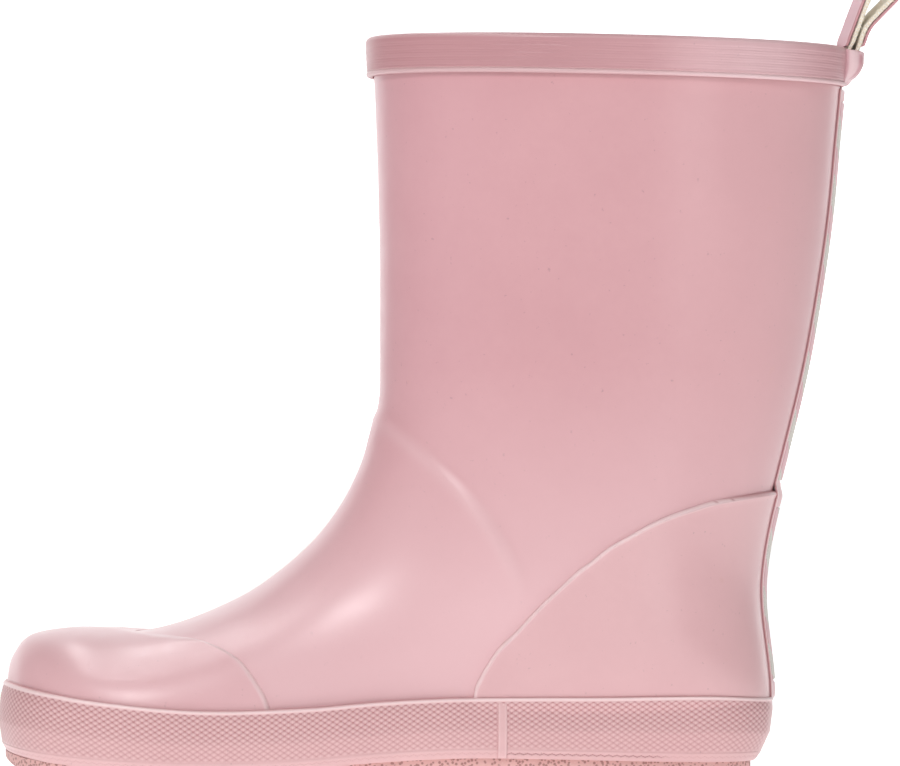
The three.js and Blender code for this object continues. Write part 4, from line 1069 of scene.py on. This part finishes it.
def ribbon(line, r0, r1, half, name, material, nodes, fuzz=0, waves=0.0):
    """A band of cloth along the loop's line, from offset r0 to r1 off the line, with rounded sides."""
    t = np.gradient(line, axis=0)
    t /= np.linalg.norm(t, axis=1)[:, None]
    nrm = np.stack([-t[:, 1], t[:, 0]], 1)
    run = np.concatenate([[0], np.cumsum(np.linalg.norm(np.diff(line, axis=0), axis=1))])
    mid, hw = (r0 + r1) / 2, (r1 - r0) / 2
    rnd = min(hw * 0.9, 0.5)
    ring = []
    for k in np.linspace(-half + rnd, half - rnd, 26):
        ring.append([k, hw])
    for v in np.linspace(80, -80, 7):
        ring.append([half - rnd + rnd * math.cos(math.radians(v)), hw * math.sin(math.radians(v))])
    for k in np.linspace(half - rnd, -half + rnd, 26):
        ring.append([k, -hw])
    for v in np.linspace(260, 100, 7):
        ring.append([-half + rnd + rnd * math.cos(math.radians(v)), hw * math.sin(math.radians(v))])
    ring = np.array(ring)
    s, k = np.meshgrid(np.arange(len(line)), np.arange(len(ring)), indexing="ij")
    wav = waves * (np.sin(run[s] * 6.2832 / 0.85 + np.where(np.abs(ring[k, 0]) > half - 0.6, 0, 1.5)) + 0.5 * np.sin(run[s] * 3.1 + 2))
    yy = ring[k, 0] + np.sign(ring[k, 0]) * np.where(np.abs(ring[k, 0]) > half - 0.7, wav, 0)
    rr = mid + ring[k, 1] + (waves * 0.5 * np.sin(run[s] * 6.2832 / 0.85) * np.sin(ring[k, 0] * 6.2832 / 1.4) * np.sign(ring[k, 1]) if waves else 0)
    x, z = line[s, 0] + nrm[s, 0] * rr, line[s, 1] + nrm[s, 1] * rr
    V = np.stack([x, yy, z], -1).reshape(-1, 3)
    n, m = len(line), len(ring)
    i, j = np.meshgrid(np.arange(n - 1), np.arange(m), indexing="ij")
    a, b, c, d = i * m + j, (i + 1) * m + j, (i + 1) * m + (j + 1) % m, i * m + (j + 1) % m
    F = np.concatenate([np.stack([a, b, c], -1).reshape(-1, 3), np.stack([a, c, d], -1).reshape(-1, 3)])
    caps = [np.stack([np.full(m - 2, 0), np.arange(1, m - 1), np.arange(2, m)], 1), (n - 1) * m + np.stack([np.full(m - 2, 0), np.arange(2, m), np.arange(1, m - 1)], 1)]
    F = np.concatenate([F, *caps])
    along_, side_ = run[s].ravel(), ring[k, 0].ravel()
    edge = (np.abs(ring[k, 0]) > half - 0.45).ravel()
    if fuzz:
        parts, la, lb = [(V, F)], [along_], [side_]
        fv, ff, fa = fibres(line, nrm, run, mid, hw, half, fuzz)
        parts.append((fv, ff))
        la.append(fa)
        lb.append(np.zeros(len(fv)))
        V, F = join(parts)
        along_, side_ = np.concatenate(la), np.concatenate(lb)
        edge = np.concatenate([edge, np.zeros(len(fv), bool)])
    a = math.radians(9)
    free = smooth((V[:, 2] - 184.5) / 3.0)
    rx = 98 + (V[:, 0] - 98) * np.cos(a * free) - V[:, 1] * np.sin(a * free)
    ry = (V[:, 0] - 98) * np.sin(a * free) + V[:, 1] * np.cos(a * free)
    V = np.stack([rx, ry, V[:, 2]], 1)
    at = {"along": along_, "side": side_, "light": np.zeros(len(V)), "shade": edge * 0.75}
    obj = make(name, V, F, material, attributes=at, sharp=60, ride=False)
    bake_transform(obj)
    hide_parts(*nodes)
    return obj


def fibres(line, nrm, run, mid, hw, half, count):
    """Short loose yarn ends along both edges, each a closed spike."""
    V, F, A = [], [], []
    s = RNG.uniform(0.03, 0.97, count) * run[-1]
    for k in range(count):
        i = min(len(run) - 2, max(1, int(np.searchsorted(run, s[k]))))
        p, nn = line[i], nrm[i]
        t = np.array([nn[1], -nn[0]])
        side = -1 if k % 2 else 1
        r = mid + RNG.uniform(-hw, hw)
        length, bend, w = RNG.uniform(0.15, 0.6), RNG.uniform(-0.75, 0.75, 2), RNG.uniform(0.06, 0.1)
        root = np.array([p[0] + nn[0] * r, side * (half - 0.25), p[1] + nn[1] * r])
        tip = root + np.array([t[0] * bend[0] + nn[0] * bend[1], side * (length + 0.2), t[1] * bend[0] + nn[1] * bend[1]]) * 0.9
        along3, across3 = np.array([t[0], 0, t[1]]), np.array([nn[0], 0, nn[1]])
        base = [root + w * (math.cos(q) * along3 + math.sin(q) * across3) for q in (0, 2.094, 4.189)]
        n0 = len(V)
        V += base + [tip]
        f = [[0, 1, 3], [1, 2, 3], [2, 0, 3], [0, 2, 1]]
        b = np.array(base + [tip])
        vol = sum(np.dot(b[q[0]], np.cross(b[q[1]], b[q[2]])) for q in f)
        F += [[n0 + v for v in (q if vol > 0 else q[::-1])] for q in f]
        A += [s[k]] * 4
    return np.array(V), np.array(F), np.array(A)


full = rounded(np.vstack([[[96.6, 179.4], [96.35, 182.0]], loop_pts, [[98.9, 182.0], [98.3, 179.4]]]), 330)
ribbon(full, -1.05, 0.0, 6.5, "loop_webbing_strap", M_WEB, ("loop_webbing", "loop_tails"), fuzz=1600, waves=0.07)
free = rounded(loop_pts, 300)
free = free[(free[:, 1] > 185.9) | ((free[:, 1] > 185.9) & (free[:, 0] > 99))]
ribbon(free, 0.25, 0.95, 6.2, "loop_facing_strap", M_FACING, ("loop_facing",))

# ---------------------------------------------------------------- foxing tape
LEVELS = [
    (0.0, lambda h, t: FOX_THICK - 1.1 - 2.6 * h + 0.2 * t),
    (0.12, lambda h, t: FOX_THICK - 0.2 - 2.1 * h + 0.5 * t),
    (0.45, lambda h, t: FOX_THICK + 0.6 - 0.5 * h + 0.5 * t),
    (0.8, lambda h, t: FOX_THICK + 0.5 + 0.3 * h),
    (0.97, lambda h, t: FOX_THICK + 0.2 + 0.5 * h - 0.5 * t),
    (1.0, lambda h, t: FOX_THICK - 0.4 + 0.5 * h - 0.6 * t),
]


def fox_out(x, share):
    h, t = tuck(x), bulge(x)
    shares = [s for s, _ in LEVELS]
    vals = np.stack(np.broadcast_arrays(*[f(h, t) for _, f in LEVELS]), -1)
    vals[..., -1] = vals[..., -2] - 0.05
    k = np.clip(np.searchsorted(shares, share, side="right") - 1, 0, len(shares) - 2)
    s0, s1 = np.array(shares)[k], np.array(shares)[k + 1]
    f = np.clip((share - s0) / (s1 - s0), 0, 1)
    a, b = np.take_along_axis(vals, k[..., None], -1)[..., 0], np.take_along_axis(vals, (k + 1)[..., None], -1)[..., 0]
    return a + (b - a) * f


def fox_place(index, share, out):
    """A point of the sidewall over plan sample `index`, at a share of its height, out from the plan line."""
    q, nn = PLAN[index], PLAN_N[index]
    x = q[..., 0] + nn[..., 0] * out
    y = q[..., 1] + nn[..., 1] * out
    z = along(FOX_BOTTOM, q[..., 0]) * (1 - share) + along(FOX_TOP, q[..., 0]) * share
    return np.stack([x, y, z], -1)


index = np.arange(len(PLAN))
HEIGHT = along(FOX_TOP, PLAN[:, 0]) - along(FOX_BOTTOM, PLAN[:, 0])
CELL_H = 1.37
top_z, bottom_z = along(FOX_TOP, PLAN[:, 0]), along(FOX_BOTTOM, PLAN[:, 0])
# Rows run down from the lip in quarter cells, then the zigzag line and the plain margin.
rows = [0.0, 0.12, 0.3, 0.55, 0.85, 1.05] + list(1.15 + CELL_H / 4 * np.arange(0, 47))
margin_rows = 10
depth = np.stack([np.full(len(PLAN), r) for r in rows], 1)
low = HEIGHT[:, None] - np.array([2.0, 1.7, 1.5, 1.3, 1.1, 0.9, 0.65, 0.35, 0.12, 0.0])
low = np.broadcast_to(low, (len(PLAN), margin_rows))
limit = HEIGHT[:, None] - 2.3
grid_part = depth.copy()
over = grid_part > limit
grid_part = np.minimum(grid_part, limit - 2e-3 * (len(rows) - np.arange(len(rows)))[None])
deep = np.concatenate([grid_part, low], 1)
n, m = deep.shape
idx = np.broadcast_to(index[:, None], deep.shape)
share = 1 - deep / HEIGHT[:, None]
out = fox_out(PLAN[:, 0][:, None] + 0 * deep, share)
a_, b_ = idx / 4.0, (deep - 1.15) / CELL_H
p_, q_ = a_ + b_, a_ - b_
gp, gq = np.abs((p_ % 1) - 0.5), np.abs((q_ % 1) - 0.5)
g = np.minimum(gp, gq) * 2  # nought on a groove, one at a diamond's middle
in_field = (deep >= 1.14) & (deep <= limit - 0.01)
strength = 0.55 + 0.45 * smooth((share - 0.30) / 0.3)
heel = smooth((PLAN[:, 0] - 73.0) / 1.5)[:, None] * 0.85
strength = strength * (1 - heel) * in_field * smooth((limit - deep) / 0.8)
pillow = 0.27 * np.sqrt(np.clip(g, 0, 1)) * strength
lip = 0.30 * np.exp(-(((deep - 0.6) / 0.36) ** 2)) - 0.12 * np.exp(-(((deep - 1.12) / 0.12) ** 2))
edge_roll = -0.75 * (1 - np.sqrt(np.clip(1 - (1 - np.clip((deep + 0.02) / 0.42, 0, 1)) ** 2, 0, 1)))
tri = np.abs(((idx / 4.0) % 1) * 2 - 1)
row_is = lambda k: np.isclose(deep, np.broadcast_to(low[:, k : k + 1], deep.shape), atol=1e-6)
strong = 0.3 + 0.7 * (smooth((PLAN[:, 0] - 8.5) / 1.5) * smooth((52 - PLAN[:, 0]) / 6))[:, None]
zig = -0.32 * strong * (np.where(row_is(2), np.clip(1 - 2 * tri, 0, 1), 0) + np.where(row_is(3), 1 - np.abs(2 * tri - 1), 0) + np.where(row_is(4), np.clip(2 * tri - 1, 0, 1), 0))
foot = -0.15 * smooth((0.3 - (HEIGHT[:, None] - deep)) / 0.3)
out = out + pillow - 0.12 * in_field * (1 - heel) + lip + edge_roll + zig + foot
# Clear of the layers that the tape is pressed over.
lifts = np.array([-0.05, -1.0, -2.0, -3.0, -4.0, -5.5])
need = []
for lift_ in lifts:
    over_layer, _ = resample(outline(FOX_TOP, lift_, 1.4, 90), 2.0)
    over_leg, _ = resample(outline(FOX_TOP, lift_, 0.05, 90), 2.0)
    thick = np.maximum(smooth((-44 - PLAN[:, 0]) / 3), smooth((PLAN[:, 0] - 0.5) / 3))
    need.append(polyline(over_layer, PLAN, True) * thick + polyline(over_leg, PLAN, True) * (1 - thick))
need = np.stack(need, 1)
rows_need = np.stack([np.interp(deep[k], -lifts, need[k]) for k in range(len(PLAN))])
wall = 0.55 * np.sqrt(np.clip(1 - (1 - np.clip((deep + 0.1) / 0.7, 0, 1)) ** 2, 0, 1))
out = np.where(deep < 5.4, np.maximum(out, rows_need + wall + 0.6 * lip + 0.8 * pillow), out)
outer = fox_place(idx, share, out)
# Painted shade in the diamonds' grooves and crossings, in the zigzag groove and under the top lip; painted highlight on
# the lip and on the diamonds' middles.
crossing = np.clip(1 - 2 * (gp + gq), 0, 1)
tint = (1 - heel) * smooth((limit - deep) / 0.8) * (0.85 + 0.15 * smooth((share - 0.3) / 0.3))
groove_painted_shade = np.where(in_field, tint * (0.48 * (1 - g) ** 1.5 + (0.42 + 0.3 * smooth((share - 0.4) / 0.3)) * crossing), 0)
shade = groove_painted_shade + np.where(zig < 0, 1.3 * np.clip(-zig / 0.3, 0, 1), 0) + 0.8 * np.exp(-((deep / 0.10) ** 2))
light = 0.85 * np.exp(-(((deep - 0.55) / 0.4) ** 2)) + np.where(in_field, g * strength * 0.4, 0) 
# Inner face, a strip's width behind.
inner_rows = [1.0, 0.5, 0.0]
inner_pts = []
for s_ in inner_rows:
    sh = np.full(len(PLAN), 1 - s_)
    h = tuck(PLAN[:, 0])
    # The top edge ends inside the layers that the tape is pressed over, and the bottom inside the sole.
    inner_pts.append(fox_place(index, sh, -1.2 - 1.5 * h if s_ == 1.0 else need[:, 0] - 0.6 if s_ == 0.0 else np.full(len(PLAN), -1.2)))
inner_pts = np.stack(inner_pts, 1)
ring = np.concatenate([outer, inner_pts], 1)
n, m = ring.shape[:2]
i, j = np.meshgrid(np.arange(n), np.arange(m), indexing="ij")
a, b, c, d_ = i * m + j, (i + 1) % n * m + j, (i + 1) % n * m + (j + 1) % m, i * m + (j + 1) % m
flip = ((i + j) % 2 == 0)[..., None]
F1 = np.where(flip, np.stack([a, b, c], -1), np.stack([a, b, d_], -1)).reshape(-1, 3)
F2 = np.where(flip, np.stack([a, c, d_], -1), np.stack([b, c, d_], -1)).reshape(-1, 3)
pad = np.zeros((n, 3))
make("foxing_tape_layer", ring.reshape(-1, 3), np.vstack([F1, F2]), M_FOX, replaces=("foxing_tape",), attributes={"light": np.concatenate([light, pad], 1).ravel(), "shade": np.concatenate([shade, pad], 1).ravel()}, sharp=0)

# Joint strip at the medial waist.
near = np.nonzero((np.abs(PLAN[:, 0] - 9.3) < 1.7) & (PLAN[:, 1] < 0))[0]
order = near[np.argsort(PLAN[near, 0])]
xs = np.linspace(8.1, 10.5, 15)
sh = np.concatenate([[0.0, 0.01, 0.03], np.linspace(0.06, 0.94, 40), [0.97, 0.99, 1.0]])
line_y = np.interp(xs, PLAN[order, 0], PLAN[order, 1])
nrm_y = np.stack([np.interp(xs, PLAN[order, 0], PLAN_N[order, k]) for k in range(2)], 1)
P, T = grid(xs, sh)
ii = np.clip(np.searchsorted(xs, P[:, 0] - 1e-9), 0, len(xs) - 1)
px, py, nx, ny = xs[ii], line_y[ii], nrm_y[ii, 0], nrm_y[ii, 1]
e = np.minimum(np.minimum(P[:, 0] - 8.1, 10.5 - P[:, 0]), np.minimum(P[:, 1], 1 - P[:, 1]) * 15)
rise = 0.45 * np.sqrt(np.maximum(0, 1 - (1 - np.clip(e / 0.4, 0, 1)) ** 2))
o = fox_out(px, P[:, 1])
zz = along(FOX_BOTTOM, px) * (1 - P[:, 1]) + along(FOX_TOP, px) * P[:, 1]
place = lambda o: np.stack([px + nx * o, py + ny * o, zz], 1)
V, F = shell(T, place(o + rise), place(o - 0.5))
make("foxing_joint_layer", V, F, M_FOX, replaces=("foxing_joint_strip",), attributes={"light": two(np.exp(-(((e - 0.3) / 0.25) ** 2)) * 0.25), "shade": two(np.exp(-((e / 0.14) ** 2)) * 0.4)}, sharp=60)

# ---------------------------------------------------------------- outsole
def sole_in(q):
    return inside_plan(q, -0.2) - 2.4 * tuck(q[:, 0]) + 1.8 * bulge(q[:, 0])


BARS = [x for x in np.arange(-98, -29.9, 9.4)] + [x for x in np.arange(24, 74.1, 9.4)]


def lug(q):
    xx = q[:, 0] - 5 * (1 - np.abs(q[:, 1]) / 60)
    bar = np.max([np.minimum(xx - x0, x0 + 5.6 - xx) for x0 in BARS], axis=0)
    s = sole_in(q)
    rim_ = np.minimum(4.4 - s, np.maximum(-28 - q[:, 0], q[:, 0] - 18))
    return np.maximum(bar, rim_)


P, T = grid(np.arange(-121, 86, 0.9), np.arange(-42, 42.1, 0.9))
P, T = trim(P, T, sole_in)
for level in (0.12, 0.4, 0.9, 1.5, 2.0):
    P, T = cut(P, T, sole_in, level, refine=1)
for level in (-0.4, 0.0, 0.4):
    P, T = cut(P, T, lug, level, refine=1)
P, T = weld(P, T)
s, x = sole_in(P), P[:, 0]
g = smooth((lug(P) + 0.4) / 0.8)
plate = along(SOLE_PLATE, x)
tread = np.minimum(plate, np.maximum(0.0, along(TREAD_BASE, x)))
top = along(FOX_BOTTOM, x) - 0.06 + (along(SOLE_TOP, x) - along(FOX_BOTTOM, x) + 0.3) * smooth((s - 1.4) / 0.6)
grit = 0.05 * np.sin(x * 5.1) * np.sin(P[:, 1] * 4.7) * (1 - g)
low = plate * (1 - g) + tread * g + grit
low = low + 0.9 * (1 - np.sqrt(np.clip(1 - (1 - np.clip(s / 0.9, 0, 1)) ** 2, 0, 1)))
low = np.minimum(low, top - 0.35)
V, F = shell(T, np.stack([x, P[:, 1], np.maximum(low, 0.0)], 1), np.stack([x, P[:, 1], top], 1))
make("outsole_tread", V, F, M_SOLE, replaces=("outsole",), sharp=45)

# ---------------------------------------------------------------- removable insole
def pad_body(name, lift0, lift1, material, node, roll, quilt, sloped=False):
    middle, _ = resample(outline(BED, (lift0 + lift1) / 2, -5.95, count=70), 2.0)
    ring_ = resample(outline(BED, lift1 - 0.05, -5.95, count=70), 2.0)[0] if sloped else middle

    def inside(q):
        return polyline(ring_, q, closed=True)

    P, T = grid(np.arange(-121, 86, 1.3), np.arange(-40, 40.1, 1.3))
    P, T = trim(P, T, inside)
    for level in (0.1, 0.3, 0.7):
        P, T = cut(P, T, inside, level, refine=1)
    P, T = weld(P, T)
    s, x = inside(P), P[:, 0]
    k = roll * (1 - np.sqrt(np.clip(1 - (1 - np.clip(s / 0.7, 0, 1)) ** 2, 0, 1)))
    soft = quilt * np.sin(x * 1.9) * np.sin(P[:, 1] * 1.9)
    bed = along(BED, x)
    B = P.copy()
    if sloped:
        # The wall leans in towards the bottom, as the lining beside it does.
        step = np.array([[0.2, 0.0], [0.0, 0.2]])
        slope = np.stack([inside(P + e) - inside(P - e) for e in step], 1) / 0.4
        slope /= np.maximum(np.linalg.norm(slope, axis=1), 1e-6)[:, None]
        lean = 2 * np.clip(s - polyline(middle, P, closed=True), 0, 2.8)
        B = P + slope * (lean * np.clip(1 - s / 12.0, 0, 1))[:, None]
    under = along(BED, B[:, 0]) + lift0 + k * 0.4
    V, F = shell(T, np.stack([x, P[:, 1], bed + lift1 - k + soft], 1), np.stack([B[:, 0], B[:, 1], under], 1))
    return make(name, V, F, material, body="insole", replaces=(node,), sharp=50)


foam = pad_body("insole_foam_pad", 0.32, 3.28, M_FOAM, "insole_foam", 0.35, 0.03, sloped=True)
pad_body("insole_cover_knit", 3.55, 4.4, M_COVER, "insole_cover", 0.2, 0.05)

# ---------------------------------------------------------------- pieces kept from the CAD, hidden inside
for node, material in {"toe_puff": M_STIFF, "vamp_reinforcement": M_STIFF, "heel_stiffener": M_STIFF, "insole_board": M_BOARD, "midsole_filler": M_SPONGE, "heel_wedge": M_SPONGE}.items():
    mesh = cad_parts[node].data
    mesh.materials.clear()
    mesh.materials.append(material)

# ---------------------------------------------------------------- floor, backdrop, light
def sheet(name, corners, material):
    mesh = bpy.data.meshes.new(name)
    mesh.from_pydata(corners, [], [(0, 1, 2, 3)])
    mesh.materials.append(material)
    obj = bpy.data.objects.new(name, mesh)
    bpy.context.scene.collection.objects.link(obj)
    return obj


def stage_material(name, colour, glow):
    n = Nodes(name)
    n.bsdf.inputs["Base Color"].default_value = (*colour, 1)
    n.bsdf.inputs["Roughness"].default_value = 0.9
    n.bsdf.inputs["Specular IOR Level"].default_value = 0.1
    n.bsdf.inputs["Emission Color"].default_value = (1, 1, 1, 1)
    n.bsdf.inputs["Emission Strength"].default_value = glow
    return n.mat


FLOOR_GLOW, WORLD, KEY, TOP, LEFT, HIGH, OVER = 0.78, 0.14, 1.75, 0.2, 1.1, 2.85, 3.7
sheet("floor", [(-7, -7, -0.0006), (7, -7, -0.0006), (7, 6, -0.0006), (-7, 6, -0.0006)], stage_material("stage_floor", (0.62, 0.62, 0.62), FLOOR_GLOW))
sheet("backdrop", [(-7, 6, -0.5), (7, 6, -0.5), (7, 6, 6), (-7, 6, 6)], stage_material("stage_backdrop", (0.9, 0.9, 0.9), 0.9))

world = bpy.data.worlds.new("studio")
bpy.context.scene.world = world
world.use_nodes = True
world.node_tree.nodes["Background"].inputs[0].default_value = (1, 1, 1, 1)
world.node_tree.nodes["Background"].inputs[1].default_value = WORLD


def softbox(name, place, aim, size_x, size_y, power, colour=(1, 1, 1)):
    light = bpy.data.lights.new(name, "AREA")
    light.shape = "RECTANGLE"
    light.size, light.size_y, light.energy, light.color = size_x, size_y, power, colour
    obj = bpy.data.objects.new(name, light)
    bpy.context.scene.collection.objects.link(obj)
    obj.location = place
    obj.rotation_euler = (Vector(aim) - Vector(place)).to_track_quat("-Z", "Y").to_euler()
    return obj


softbox("key", (0.52, -1.1, 0.40), (0.0, 0, 0.1), 0.27, 0.8, KEY)
softbox("top", (-0.3, -0.22, 0.95), (-0.04, 0, 0.05), 0.55, 0.4, TOP)
softbox("high", (-0.24, -0.80, 0.66), (-0.03, 0, 0.04), 0.15, 0.27, HIGH)
softbox("over", (-0.27, 0.16, 0.99), (-0.27, 0.16, 0), 0.14, 1.2, OVER).rotation_euler = (0, 0, 0)
softbox("left", (-1.2, -0.8, 0.5), (0, 0, 0.1), 0.8, 0.8, LEFT)

bpy.context.scene.view_settings.view_transform = "Standard"
bpy.context.scene.view_settings.look = "None"
bpy.context.scene.view_settings.exposure = 0.0
bpy.context.scene.view_settings.gamma = 1.0
